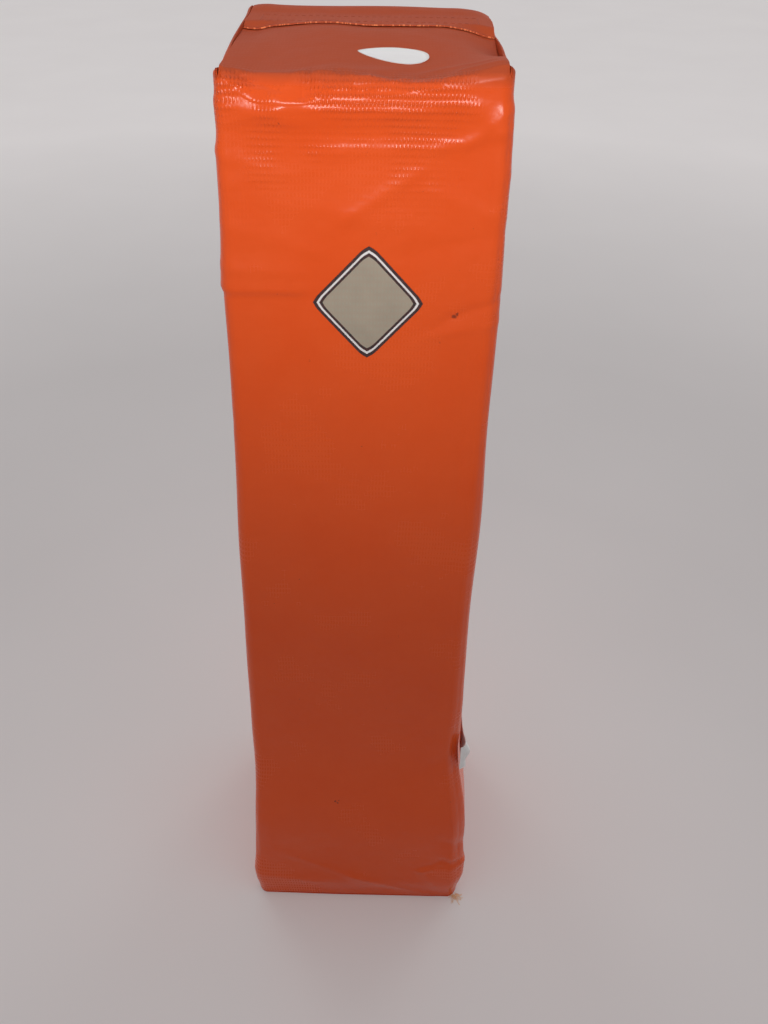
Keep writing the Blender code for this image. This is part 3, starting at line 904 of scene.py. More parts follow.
def make_gusset(name, side):
    """Side wall's top, folded in over the foam. It is short at the corners and long between them."""
    middle = side * side_run
    reach = flat_run / 2 + arc_run * (corner_steps - flap_corner_steps) / corner_steps
    span = around(columns, middle)
    s = middle + np.sort(span[np.abs(span) <= reach + column_match])
    base = wall_point(s, side_cut)
    normal = loop_frame(s)[1]
    tops = curved(base[:, 1], knot_y, right_z if side > 0 else left_z)
    tilt = rear_tilt + 0 * tops
    inward, z = folded_path(base[:, 2], tops - gusset_band, tops, tilt, gusset_bend, gusset_bend)
    longest = gusset_high.x - gusset_low.x - gusset_margin
    run_in = np.clip((np.abs(s - middle) - (flat_run / 2 - gusset_corner)) / gusset_corner, 0, 1)
    reach_in = gusset_short + (longest - gusset_short) * (1 - smooth(run_in))
    more = inward[-1] + gusset_shares * np.maximum(reach_in - inward[-1], least_run)
    drop = smooth((more - gusset_drop_start) / gusset_drop_ease)
    heights = tops + (np.minimum(gusset_high.z, tops) - tops) * drop
    distance = np.concatenate([inward, more])
    places = base[None, :, :2] - distance[..., None] * normal
    height = np.minimum(np.concatenate([z, heights]), under_flaps(places[..., 0], places[..., 1]))
    return make_flap(name, np.concatenate([places, height[..., None]], -1), s, base[:, 2])


left_gusset = make_gusset("left_gusset", -1)
right_gusset = make_gusset("right_gusset", 1)
print("gussets", len(left_gusset.data.vertices), "points each")

# %% [markdown]
# ## Base panel, pouch, sand and foam
#
# Closed bodies of square rings: every ring is the cover's own section, a little smaller, so all of them
# follow the post's lean and its folds. Nothing of this shows on the closed pylon, but the lifted flaps
# bare the foam, and the underside shows the base panel.

# %% Rings of a block
ring_columns = columns[::2]
inward_steps = mm * np.array([44, 36, 28, 21, 15, 11, 8, 6, 4.5, 3, 1.5])
under_cloth = -(cloth + gap)
pouch_cloth = 0.4 * mm
underside = 0.2 * mm


def rings_at(insets, heights, lift):
    """Square rings, each drawn in from the cover's section by its inset, at its height."""
    return wall_point(ring_columns[None], heights[:, None], lift=lift, inset=insets[:, None])


def rounded_rows(low, high, low_bend, high_bend, wall_rows):
    """Insets and heights of the rows of a block: floor, lower bend, wall, upper bend and top."""
    angle = np.linspace(0, math.pi / 2, 6)
    count = len(inward_steps)
    insets = [
        inward_steps + low_bend, low_bend * (1 - np.sin(angle)), np.zeros(wall_rows),
        high_bend * (1 - np.cos(angle)), inward_steps[::-1] + high_bend,
    ]
    heights = [
        np.full(count, low), low + low_bend * (1 - np.cos(angle)),
        np.linspace(low + low_bend, high - high_bend, wall_rows + 2)[1:-1],
        high - high_bend * (1 - np.sin(angle)), np.full(count, high),
    ]
    return np.concatenate(insets), np.concatenate(heights)


def level_waves(rings, pitch_x, pitch_y):
    """One plus the product of two sines over x and y, from 0 to 2."""
    return 1 + np.sin(rings[..., 0] / pitch_x) * np.sin(rings[..., 1] / pitch_y)


# %% Make what is inside
block_bend = 3 * mm
pouch_top_bend, pouch_rows = 6 * mm, 40
gather_low, gather_ease, gather_depth, gather_count = 70 * mm, 16 * mm, 0.25 * mm, 74
panel_margin, panel_wave, panel_pitch_x, panel_pitch_y = 0.6 * mm, 0.12 * mm, 9 * mm, 8 * mm
sand_room, sand_top_bend, sand_rows = 0.8 * mm, 7 * mm, 30
sand_top_low, sand_top_ease, sand_pitch_x, sand_pitch_y = 60 * mm, 20 * mm, 13 * mm, 10 * mm
foam_room, foam_top_bend, foam_rows = 0.3 * mm, 3.5 * mm, 70
foam_top = 400 * mm


def make_base_panel():
    """A square of the cover's cloth, flat on the floor. Its outer skin faces down."""
    insets = np.append(inward_steps, 0) + foot_half - panel_high.x
    rings = rings_at(insets, np.full(len(insets), hem_bottom), 0)
    rings[..., 2] = underside
    return make_bag("base_cloth", rings, panel_high.z - underside)


def make_pouch():
    """The sand's bag: floor, wall, and a margin gathered in at the top."""
    insets, heights = rounded_rows(pouch_low.z, pouch_high.z, block_bend, pouch_top_bend, pouch_rows)
    kept = len(insets) - len(inward_steps) + 3
    rings = rings_at(insets[:kept], heights[:kept], under_cloth)
    gather = smooth((heights[:kept] - gather_low) / gather_ease)[:, None]
    tucks = 1 + np.sin(ring_columns * gather_count * 2 * math.pi / loop_run)
    rings[..., 2] -= gather_depth * gather * tucks
    return make_bag("sand_pouch", rings, pouch_cloth)


def make_pouch_panel():
    """The panel sewn over the top of the bag."""
    insets = np.append(inward_steps, panel_margin)
    rings = rings_at(insets, np.full(len(insets), cover_panel_low.z), under_cloth)
    rings[..., 2] += panel_wave * level_waves(rings, panel_pitch_x, panel_pitch_y)
    return make_bag("pouch_panel", rings, pouch_cloth)


def make_sand():
    """The loose fill, a little lower than the bag and uneven on top."""
    low, high = pouch_low.z + sand_room, pouch_high.z - mm
    insets, heights = rounded_rows(low, high, block_bend, sand_top_bend, sand_rows)
    rings = rings_at(insets, heights, under_cloth - pouch_cloth - gap)
    top = smooth((heights - sand_top_low) / sand_top_ease)[:, None]
    rings[..., 2] -= mm * top * level_waves(rings, sand_pitch_x, sand_pitch_y)
    return make_loft("sand", rings)


def make_foam():
    """The foam block. Its top edges are rounded, and it stays under the folded cloth."""
    insets, heights = rounded_rows(foam_low.z, foam_high.z - foam_room, block_bend, foam_top_bend, foam_rows)
    rings = rings_at(insets, heights, under_cloth)
    limit = under_flaps(rings[..., 0], rings[..., 1]) - cloth - gap
    rings[..., 2] = np.where(rings[..., 2] > foam_top, np.minimum(rings[..., 2], limit), rings[..., 2])
    return make_loft("foam", rings)


base_panel = make_base_panel()
pouch = make_pouch()
pouch_panel = make_pouch_panel()
sand = make_sand()
foam = make_foam()
print("foam", [round(value / mm, 1) for value in foam.bound_box[6]])

# %% [markdown]
# ## Hook-and-loop tape
#
# Two sewn tapes hold the closing flap. Each is a narrow woven band. One carries rows of small loops, the
# other small hooks. A few hundred of each are made at once, as one mesh of short strands.

# %% Make the tapes
tape_band = 0.45 * mm
tape_rows, tape_columns = 9, 54
tape_edge_wave, tape_edge_pitch, tape_edge = 0.15 * mm, 7 * mm, 0.1 * mm
hair_margin_x, hair_margin_y, hair_shift = 1.5 * mm, 1.4 * mm, 0.35
hair_radius = 0.11 * mm
loop_rise, hook_rise = 0.75 * mm, -0.7 * mm
loop_turn, hook_turn = 1, 0.75
hook_gap = 0.15 * mm


def loop_base(x, y):
    """Upper side of the loop tape's band."""
    return loop_low.z + tape_band + 0 * x


def hook_base(x, y):
    """Upper side of the hook tape's band, just under the closing flap."""
    return lid_height(x, y) - cloth - hook_gap


def hook_floor(x, y):
    """Underside of the hook tape's band."""
    return hook_base(x, y) - tape_band


def make_tape(name, low, high, height):
    """A narrow band whose upper side follows a height over x and y."""
    x = np.linspace(low.x, high.x, 120)[None, :]
    y = np.linspace(low.y, high.y, 24)[:, None]
    x, y = np.broadcast_arrays(x, y)
    wavy = tape_edge_wave * np.sin(x / tape_edge_pitch) * (np.abs(y - low.y) < tape_edge)
    points = np.stack([x, y + wavy, height(x, y)], -1)
    return make_sheet(name, points, np.stack([x, y], -1), tape_band)


def make_hairs(name, low, high, height, rise, turn, seed):
    """Rows of bent strands, each moved and turned a little: turn is in half circles, rise may be down."""
    draw = np.random.default_rng(seed)
    x = np.linspace(low.x + hair_margin_x, high.x - hair_margin_x, tape_columns)
    y = np.linspace(low.y + hair_margin_y, high.y - hair_margin_y, tape_rows)
    x, y = np.meshgrid(x, y)
    shift = draw.uniform(-hair_shift, hair_shift, (2, *x.shape)) * mm
    x, y = (x + shift[0]).ravel(), (y + shift[1]).ravel()
    angle = np.linspace(0, math.pi * turn, 6)[None, :]
    size = abs(rise) * 0.5 * draw.uniform(0.8, 1.0, len(x))[:, None]
    heading = draw.uniform(0, math.pi, len(x))[:, None]
    aside = -size * np.cos(angle)
    lift = 2 * size * np.sin(angle) * math.copysign(1, rise)
    lines = np.stack([
        x[:, None] + aside * np.cos(heading),
        y[:, None] + aside * np.sin(heading),
        height(x, y)[:, None] + lift,
    ], -1)
    ups = np.stack([-np.sin(heading), np.cos(heading), 0 * heading], -1) + 0 * lines
    return make_strands(name, lines, ups, hair_radius, sides=4)


loop_tape = make_tape("loop_tape_band", loop_low, loop_high, loop_base)
hook_tape = make_tape("hook_tape_band", hook_low, hook_high, hook_base)
loops = make_hairs("loops", loop_low, loop_high, loop_base, loop_rise, loop_turn, 3)
hooks = make_hairs("hooks", hook_low, hook_high, hook_floor, hook_rise, hook_turn, 4)
print("loops and hooks", len(loops.data.polygons) + len(hooks.data.polygons), "faces")

# %% [markdown]
# ## Stitches
#
# A seam is a row of single stitches. Each rises from the cloth, lies along it and dives in again. The
# thread has the colour of the cloth, so the rows hardly show.

# %% Make the stitches
thread_radius = 0.17 * mm
stitch_pitch, ring_pitch = 2.9 * mm, 3.4 * mm
stitch_share = 0.78
stitch_steps = 7
stitch_sink, stitch_proud = 1.9 * thread_radius, 0.35 * thread_radius
tape_seam_inset = 0.7 * mm
seam_start, seam_length, seam_room = 5 * mm, 440 * mm, 0.1 * mm
seam_from_middle = foot_half - 5.3 * mm
pouch_seam_from_middle, pouch_seam_lift = 49.5 * mm, 0.2 * mm
under_stitch_drop = underside + 0.04 * mm - hem_bottom


def stitches_along(name, path, total, up, pitch=stitch_pitch):
    """Stitches on a path, which gives places for distances from 0 to total. up is the side they lie on."""
    count = int(total / pitch)
    middles = (np.arange(count) + 0.5)[:, None] * total / count
    share = np.linspace(-0.5, 0.5, stitch_steps)[None, :]
    distance = middles + share * stitch_share * total / count
    ups = np.zeros((*distance.shape, 3)) + np.array(up)
    sink = stitch_sink * (2 * share) ** 4
    lines = path(distance) + ups * (stitch_proud - sink)[..., None]
    return make_strands(name, lines, ups, thread_radius)


def box_stitches(name, low, high, height):
    """Stitches round a tape, on a height over x and y."""
    wide = high.x - low.x - 2 * tape_seam_inset
    deep = high.y - low.y - 2 * tape_seam_inset
    corners = np.array([0, wide, wide + deep, 2 * wide + deep, 2 * (wide + deep)])
    across = np.array([0, wide, wide, 0, 0]) + low.x + tape_seam_inset
    along = np.array([0, 0, deep, deep, 0]) + low.y + tape_seam_inset

    def path(distance):
        """The place at a distance along the four sides."""
        x = np.interp(distance, corners, across)
        y = np.interp(distance, corners, along)
        return np.stack([x, y, height(x, y)], -1)

    return stitches_along(name, path, corners[-1], (0, 0, 1))


def ring_stitches(name, from_middle, z, side):
    """Stitches on a level square ring at a distance from the middle of the post."""
    inset = eased(z, station_heights, station_halves) - from_middle

    def path(distance):
        """The place at a distance round the ring."""
        places = wall_point(distance, z, inset=inset)
        places[..., 2] = z
        return places

    return stitches_along(name, path, loop_run, (0, 0, side), ring_pitch)


def corner_stitches():
    """The closing seam of the cover, inside the front right corner."""
    half = 1 / math.sqrt(2)

    def path(distance):
        """The place at a distance up the seam."""
        return wall_point(corner_middle, seam_start + distance, lift=-cloth - seam_room)

    return stitches_along("corner_stitches", path, seam_length, (-half, half, 0))


def lower(piece, shift):
    """Moves a piece's points by a height, and keeps them over the floor."""
    places = np.empty(len(piece.data.vertices) * 3)
    piece.data.vertices.foreach_get("co", places)
    places[2::3] = np.maximum(places[2::3] + shift, 0)
    piece.data.vertices.foreach_set("co", places)


lid_stitches = box_stitches("lid_stitches", hook_low, hook_high, lid_height)
loop_stitches = box_stitches("loop_stitches", loop_low, loop_high, loop_base)
seam_stitches = corner_stitches()
foot_stitches = ring_stitches("foot_stitches", seam_from_middle, hem_bottom + cloth, 1)
under_stitches = ring_stitches("under_stitches", seam_from_middle, hem_bottom, -1)
lower(under_stitches, under_stitch_drop)
pouch_seam_z = cover_panel_high.z + pouch_seam_lift
pouch_stitches = ring_stitches("pouch_stitches", pouch_seam_from_middle, pouch_seam_z, 1)
print("lid stitches", len(lid_stitches.data.polygons), "faces")

# %% [markdown]
# ## Lozenge, sticker and woven label
#
# The flat print on the front is a thin film that follows every fold of the wall. It is a fan of rings
# from its middle, and each point knows its distance from the print's edge, which the material turns into
# the dark and pale border lines. The oval on the top is made in the same way. The label is a ribbon,
# folded double and caught in the corner seam.

# %% Make the lozenge
decal_low, decal_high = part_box("front_decal")
lozenge_wide = (decal_high.x - decal_low.x) / 2
lozenge_high = (decal_high.z - decal_low.z) / 2
lozenge_side = math.hypot(lozenge_wide, lozenge_high)
lozenge_reach = lozenge_wide * lozenge_high / lozenge_side
lozenge_rounding = 2.5 * mm
lozenge_points, lozenge_power, tip_turn = 144, 0.62, 0.10
lozenge_shares = np.concatenate([np.linspace(0.03, 0.78, 22), np.linspace(0.80, 1, 16)])
lozenge_middle_mm = 16
film, film_lift = 0.1 * mm, 0.16 * mm


def lozenge_outline():
    """A rhombus with round corners: a smaller rhombus, with a circle's point added in each direction."""
    angle = -2 * math.pi * np.arange(lozenge_points) / lozenge_points
    cos, sin = np.cos(angle), np.sin(angle)
    x = np.sign(cos) * np.abs(cos) ** (2 * lozenge_power)
    z = np.sign(sin) * np.abs(sin) ** (2 * lozenge_power)
    size = np.abs(x) + np.abs(z)
    x, z = x / size, z / size
    slim = 1 - lozenge_rounding * math.hypot(1 / lozenge_wide, 1 / lozenge_high)
    inner = np.stack([x * lozenge_wide * slim, z * lozenge_high * slim], -1)
    facing = np.stack([np.sign(cos) * lozenge_high, np.sign(sin) * lozenge_wide], -1) / lozenge_side
    turn = smooth(np.minimum(np.abs(x), np.abs(z)) / tip_turn)[:, None]
    sideways = np.stack([np.sign(cos), 0 * x], -1)
    upright = np.stack([0 * x, np.sign(sin)], -1)
    tip = np.where((np.abs(x) > np.abs(z))[:, None], sideways, upright)
    facing = tip + (facing - tip) * turn
    return inner + lozenge_rounding * facing / np.linalg.norm(facing, axis=-1, keepdims=True)


def make_lozenge():
    """Rings of the outline, drawn in towards the middle, laid on the front wall."""
    flat = lozenge_shares[:, None, None] * lozenge_outline()
    middle_x, middle_z = (decal_low.x + decal_high.x) / 2, (decal_low.z + decal_high.z) / 2
    s, z = middle_x + flat[..., 0], middle_z + flat[..., 1]
    points = wall_point(s - lean(np.array(middle_z))[0], z, lift=film_lift)
    piece = make_bag("front_lozenge", points, film)
    distance = np.repeat((1 - lozenge_shares)[:, None] * lozenge_reach / mm, lozenge_points, 1).ravel()
    set_edge_distance(piece, [distance, distance, [lozenge_middle_mm] * 2])
    return piece


lozenge = make_lozenge()
print("lozenge", round(2 * lozenge_wide / mm, 1), "by", round(2 * lozenge_high / mm, 1), "mm")

# %% Make the sticker
sticker_low, sticker_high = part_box("top_sticker")
sticker_points = 96
sticker_shares = np.concatenate([np.linspace(0.05, 0.9, 14), np.linspace(0.92, 1, 6)])[:, None]
point_power, blunt_power, widest_blunt = 0.72, 0.45, 1.03
blunt_share, bend_share = 0.86, 0.24
sticker_lift, sticker_curl = 0.22 * mm, 0.25 * mm
sticker_middle_mm = 8


def make_sticker():
    """An oval with one pointed end, lying on the front flap."""
    angle = -2 * math.pi * np.arange(sticker_points) / sticker_points
    half_x, half_y = (sticker_high.x - sticker_low.x) / 2, (sticker_high.y - sticker_low.y) / 2
    across = np.cos(angle)
    blunt = np.sign(np.sin(angle)) * (1 + across) ** point_power * (1 - across) ** blunt_power / widest_blunt
    middle = (sticker_low + sticker_high) / 2
    x = middle.x + sticker_shares * half_x * across
    y = middle.y - sticker_shares * half_y * (blunt_share * blunt + bend_share * across)
    fold_y = np.interp(x, fold_line_x, fold_line_y)
    curl = sticker_curl * smooth((sticker_shares - 0.8) / 0.2) * smooth((across - 0.3) / 0.7)
    z = front_flap_height(x, y, fold_y) + sticker_lift + curl
    piece = make_bag("top_oval", np.stack([x, y, z], -1)[:, ::-1], film)
    distance = np.repeat((1 - sticker_shares) * sticker_middle_mm, sticker_points, 1).ravel()
    set_edge_distance(piece, [distance, distance, [sticker_middle_mm] * 2])
    return piece


sticker = make_sticker()
print("sticker", len(sticker.data.vertices), "points")

# %% Make the label
label_low, label_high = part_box("seam_label")
ribbon = 0.25 * mm
label_knots = mm * np.array([0, 3, 6, 9, 13, 17, 25])
label_out = mm * np.array([51.9, 54.4, 56.4, 56.0, 54.3, 53.6, 53.5])
label_back = mm * np.array([-52.2, -50.9, -48.7, -45.9, -42.4, -38.6, -30.6])
label_steps, label_rows = 60, 22
label_apart, label_least_apart, label_apart_ease = 0.30 * mm, 0.06 * mm, 6 * mm
label_margin = 0.2 * mm
label_wall_x = 53.4 * mm
label_droop, droop_start, droop_ease = 5.5 * mm, -51.5 * mm, 7 * mm


def make_label():
    """A ribbon along a path out of the seam and back along the wall, doubled at its far end."""
    run = np.linspace(0, label_knots[-1], label_steps)
    there = np.stack([curved(run, label_knots, label_out), curved(run, label_knots, label_back)], -1)
    step = np.gradient(there, axis=0)
    aside = np.stack([step[:, 1], -step[:, 0]], -1) / np.linalg.norm(step, axis=1)[:, None]
    apart = label_apart * smooth(run / label_apart_ease) + label_least_apart
    outer = there + aside * apart[:, None] / 2
    inner = there - aside * apart[:, None] / 2
    turn = np.linspace(0, math.pi, 9)[1:-1, None]
    end_along = step[-1] / np.linalg.norm(step[-1])
    bend = there[-1] + apart[-1] / 2 * (np.cos(turn) * aside[-1] + 1.6 * np.sin(turn) * end_along)
    path = np.concatenate([outer, bend, inner[::-1]])
    share = np.linspace(0, 1, label_rows)
    z = label_low.z + label_margin + share * (label_high.z - label_low.z - 2 * label_margin)
    bulge = (0.30 + 0.85 * bell(share - 0.60, 0.26) + 0.35 * bell(share, 0.2))[None, :]
    proud = np.maximum(path[:, :1] - label_wall_x, 0)
    x = np.minimum(path[:, :1], label_wall_x) + proud * bulge
    y = np.repeat(path[:, 1:], label_rows, 1)
    droop = smooth((path[:, 1:] - droop_start) / droop_ease) * (1 - share[None]) ** 2
    points = np.stack([x, y, z[None] - label_droop * droop + 0 * x], -1)
    distance = np.concatenate([[0], np.cumsum(np.linalg.norm(np.diff(path, axis=0), axis=1))])
    flat_map = np.stack(np.broadcast_arrays(distance[:, None], z[None]), -1)
    return make_sheet("woven_label", points.transpose(1, 0, 2), flat_map.transpose(1, 0, 2), ribbon)


label = make_label()
print("label", round((label_high.z - label_low.z) / mm, 1), "mm wide")

# %% Make the loose threads
loose_count, loose_steps, loose_radius = 22, 9, 0.09 * mm
loose_middle = (54.2 * mm, -54.4 * mm)
loose_floor = 0.1 * mm


def make_loose_threads():
    """Frayed ends at the front right foot: short strands that droop to the floor, each its own way."""
    draw = np.random.default_rng(5)

    def drawn(low, high):
        """One random number between low and high for each strand."""
        return draw.uniform(low, high, loose_count)[:, None]

    share = np.linspace(0, 1, loose_steps)[None, :]
    heading = np.radians(drawn(-80, 5))
    length = drawn(2.0, 6.5) * mm
    angle = heading + drawn(-1.6, 1.6) * share
    start_x = loose_middle[0] + drawn(-3.5, 0.8) * mm
    start_y = loose_middle[1] + drawn(-0.6, 1.2) * mm
    start_z = drawn(0.4, 2.4) * mm
    x = start_x + np.cumsum(np.cos(angle), axis=1) * length / loose_steps
    y = start_y + np.cumsum(np.sin(angle), axis=1) * length / loose_steps
    hump = drawn(0.2, 1.6) * mm * np.sin(math.pi * share)
    z = np.maximum(start_z * (1 - smooth(share)) + hump * (1 - share), loose_floor)
    lines = np.stack([x, y, z], -1)
    ups = np.zeros(lines.shape) + np.array([0, 0, 1])
    return make_strands("loose_threads", lines, ups, loose_radius, sides=5)


loose_threads = make_loose_threads()
print("loose threads", len(loose_threads.data.polygons), "faces")

# %% [markdown]
# ## Building blocks for materials
#
# Materials are node trees. A few short helpers add a node, do arithmetic and mix two colours. The
# effects that several materials share are node groups: the coated weave, a plain weave for tapes and
# bags, and the slow and fine stains that any used cloth has.

# %% Node helpers
def put(tree, kind, values=None, **settings):
    """Adds a node, sets its properties, and gives its inputs numbers or links."""
    new = tree.nodes.new(kind)
    for key, value in settings.items():
        setattr(new, key, value)
    for socket, value in (values or {}).items():
        if isinstance(value, bpy.types.NodeSocket):
            tree.links.new(value, new.inputs[socket])
        else:
            new.inputs[socket].default_value = value
    return new


def calc(tree, operation, *values):
    """The result of a Math node on up to three numbers or links."""
    return put(tree, "ShaderNodeMath", dict(enumerate(values)), operation=operation).outputs[0]


def times(tree, first, second):
    """A product."""
    return calc(tree, "MULTIPLY", first, second)


def line(tree, value, slope, start):
    """A value times a slope, plus a start."""
    return calc(tree, "MULTIPLY_ADD", value, slope, start)


def swing(tree, kind, turns):
    """The sine or cosine of a number of whole turns."""
    return calc(tree, kind, times(tree, turns, 2 * math.pi))


def mix(tree, share, first, second):
    """A colour between two, by a share."""
    return put(tree, "ShaderNodeMix", {0: share, 6: first, 7: second}, data_type="RGBA").outputs[2]


def tint(tree, mask, strength, colour, other):
    """A colour that goes towards another where a mask is 1, at most by a strength."""
    return mix(tree, times(tree, mask, strength), colour, other)


def between(tree, value, low, high, kind="LINEAR"):
    """Turns a value's range from low to high into 0 to 1."""
    return put(tree, "ShaderNodeMapRange", {0: value, 1: low, 2: high}, interpolation_type=kind).outputs[0]


def noise(tree, place, scale, detail=2.0, roughness=0.5, result="Fac"):
    """A noise value, or a noise colour, at a place."""
    values = {"Vector": place, "Scale": scale, "Detail": detail, "Roughness": roughness}
    return put(tree, "ShaderNodeTexNoise", values).outputs[result]


def edge_distance(tree):
    """Distance from the edge of the piece in millimetres, which some pieces store."""
    return put(tree, "ShaderNodeAttribute", attribute_name="edge_mm").outputs["Fac"]


# %% Helpers for groups and materials
def new_group(name, inputs, outputs):
    """A shader node group with named inputs, each with its starting value, and named outputs."""
    group = bpy.data.node_groups.new(name, "ShaderNodeTree")
    for title, value in inputs.items():
        kind = "NodeSocketVector" if value is None else "NodeSocketFloat"
        socket = group.interface.new_socket(title, in_out="INPUT", socket_type=kind)
        if value is not None:
            socket.default_value = value
    for title in outputs:
        group.interface.new_socket(title, in_out="OUTPUT", socket_type="NodeSocketFloat")
    return group, group.nodes.new("NodeGroupInput"), group.nodes.new("NodeGroupOutput")


def use(tree, group, place, **values):
    """Places a group in a material and returns its outputs."""
    node = put(tree, "ShaderNodeGroup", node_tree=group)
    tree.links.new(place, node.inputs["Place"])
    for key, value in values.items():
        node.inputs[key.replace("_", " ")].default_value = value
    return node.outputs


def new_material(name, mapped=False):
    """A material, its shader, and the vector its patterns follow: the cloth's own map or the object."""
    material = bpy.data.materials.new(name)
    material.use_nodes = True
    tree = material.node_tree
    if mapped:
        place = put(tree, "ShaderNodeUVMap", uv_map="cloth").outputs[0]
    else:
        place = put(tree, "ShaderNodeTexCoord").outputs["Object"]
    return material, tree, tree.nodes["Principled BSDF"], place


def set_finish(tree, shader, colour, rough, height, depth, under=None):
    """Feeds the colour, the roughness and a bump of a depth, over another bump if there is one."""
    tree.links.new(colour, shader.inputs["Base Color"])
    tree.links.new(rough, shader.inputs["Roughness"])
    bump = put(tree, "ShaderNodeBump", {"Height": height, "Distance": depth, "Strength": 1.0})
    if under is not None:
        tree.links.new(under, bump.inputs["Normal"])
    tree.links.new(bump.outputs[0], shader.inputs["Normal"])


# %% The coated weave
# Rows of short upright yarns show through the coating: a cosine across times a cosine up the cloth. A
# level ridge marks the foot of each row, steep above and slow below, where the yarns cross the one that
# lies. Noise moves both about. The coating is thinnest in patches near the top of the walls.
yarn_pitch, row_pitch = 1.36 * mm, 2.67 * mm
weave_wander = 0.9 * mm
row_shift, yarn_slant, row_phase = 0.20, 0.15, 0.20
lying_share, standing_share = 0.35, 0.65
thin_start, thin_full = 405 * mm, 452 * mm
thin_fade, thin_end = 462 * mm, 474 * mm
thin_share, thick_share = 0.98, 0.02


def build_coated_weave():
    """Height of the yarns under the coating, and a mask of the places between them."""
    inputs = {"Place": None, "Yarn pitch": yarn_pitch, "Row pitch": row_pitch}
    tree, given, result = new_group("coated_weave", inputs, ("Height", "Groove"))
    place = given.outputs["Place"]
    split = put(tree, "ShaderNodeSeparateXYZ", {0: place})
    wander = calc(tree, "SUBTRACT", noise(tree, place, 60.0, 3.0), 0.5)
    across = line(tree, wander, weave_wander, split.outputs[0])
    rise = line(tree, wander, weave_wander, split.outputs[1])
    rows = calc(tree, "DIVIDE", rise, given.outputs["Row pitch"])
    share = calc(tree, "FRACT", rows)
    row_number = {"W": calc(tree, "FLOOR", rows)}
    row_noise = put(tree, "ShaderNodeTexWhiteNoise", row_number, noise_dimensions="1D").outputs["Value"]
    yarns = calc(tree, "DIVIDE", across, given.outputs["Yarn pitch"])
    phase = line(tree, row_noise, row_shift, line(tree, share, yarn_slant, yarns))
    yarn = line(tree, swing(tree, "COSINE", phase), 0.5, 0.5)
    row_swing = swing(tree, "COSINE", calc(tree, "SUBTRACT", share, row_phase))
    standing = times(tree, yarn, line(tree, row_swing, 0.5, 0.5))
    upper_side = between(tree, share, 0.32, 0.12, "SMOOTHSTEP")
    lower_side = between(tree, share, 0.45, 1.0, "SMOOTHSTEP")
    ridge = calc(tree, "MAXIMUM", upper_side, lower_side)
    lying = times(tree, ridge, line(tree, yarn, 0.75, 0.25))
    woven = line(tree, lying, lying_share, times(tree, standing, standing_share))
    up = split.outputs[1]
    thin = times(tree, between(tree, up, thin_start, thin_full), between(tree, up, thin_end, thin_fade))
    thin = times(tree, thin, between(tree, noise(tree, place, 34.0), 0.42, 0.58))
    height = times(tree, woven, line(tree, thin, thin_share, thick_share))
    tree.links.new(height, result.inputs["Height"])
    tree.links.new(calc(tree, "SUBTRACT", 1.0, standing), result.inputs["Groove"])
    return tree


# %% The plain weave and the stains
def build_plain_weave():
    """Over and under: the product of two sines, one for each direction of yarn."""
    inputs = {"Place": None, "Pitch": 0.6 * mm}
    tree, given, result = new_group("plain_weave", inputs, ("Height", "Groove"))
    place = given.outputs["Place"]
    split = put(tree, "ShaderNodeSeparateXYZ", {0: place})
    turns = [calc(tree, "DIVIDE", split.outputs[axis], given.outputs["Pitch"]) for axis in (0, 1)]
    swings = [swing(tree, "SINE", turn) for turn in turns]
    crossing = line(tree, times(tree, *swings), 0.5, 0.5)
    height = line(tree, noise(tree, place, 2600.0), 0.3, times(tree, crossing, 0.7))
    tree.links.new(height, result.inputs["Height"])
    tree.links.new(calc(tree, "SUBTRACT", 1.0, height), result.inputs["Groove"])
    return tree


def build_stains():
    """Three masks: slow patches, small specks and fine grain."""
    inputs = {"Place": None, "Patch scale": 22.0}
    tree, given, result = new_group("stains", inputs, ("Patches", "Specks", "Grain"))
    place = given.outputs["Place"]
    masks = {
        "Patches": between(tree, noise(tree, place, given.outputs["Patch scale"], 4.0, 0.6), 0.35, 0.70),
        "Specks": between(tree, noise(tree, place, 420.0, 3.0, 0.55), 0.73, 0.78),
        "Grain": noise(tree, place, 1500.0),
    }
    for title, mask in masks.items():
        tree.links.new(mask, result.inputs[title])
    return tree


coated_weave = build_coated_weave()
plain_weave = build_plain_weave()
stains = build_stains()
print("node groups", [group.name for group in bpy.data.node_groups])

# %% [markdown]
# ## The orange cloth
#
# The cover is cloth with a thick, bright vinyl coating. The coating fills the weave, so it is glossy on
# top of the yarns and a little darker between them. Slow patches of gloss, dark specks and two marks on
# the front keep it from looking new. The level flaps are coloured darker and are matt: the darker colour
# is painted shade, since the light falls on the front and only grazes the top.
# Where the cloth is cut, its pale yarns show, brightened into a painted highlight along the lit edge.

# %% Make the orange cloth
orange = (0.78, 0.082, 0.006, 1)
deep_orange = (0.62, 0.050, 0.004, 1)
worn_orange = (0.84, 0.12, 0.022, 1)
# pale cut yarns, made brighter to paint the highlight of the lit cut edge
cut_yarn_and_highlight = (0.90, 0.27, 0.10, 1)
speck_colour = (0.10, 0.02, 0.012, 1)
# Painted shade: from these heights of the flat cloth on, the level flaps are coloured darker, since the
# light falls on the front and only grazes the top.
shaded_top_orange = (0.40, 0.062, 0.016, 1)
shaded_top_low, shaded_top_high = 460 * mm, 466 * mm
shaded_top_share = 0.80
marks = mm * np.array([
    # x, z and reach
    (36.4, 361.1, 1.3),
    (37.6, 362.3, 0.9),
    (-10.6, 79.8, 0.7),
    (-9.6, 78.9, 0.7),
    (-9.0, 80.6, 0.5),
])
mark_wander, mark_core, mark_share = 1.6 * mm, 0.4, 0.75
ragged_span, ragged_start, least_edge = 3.0, -1.60, 0.001
gloss, worn_rough, plain_rough = 0.32, 0.09, 0.18
level_flap_rough, groove_rough, cut_rough = 0.45, 0.04, 0.8
soft_bump, weave_bump = 0.35 * mm, 0.38 * mm


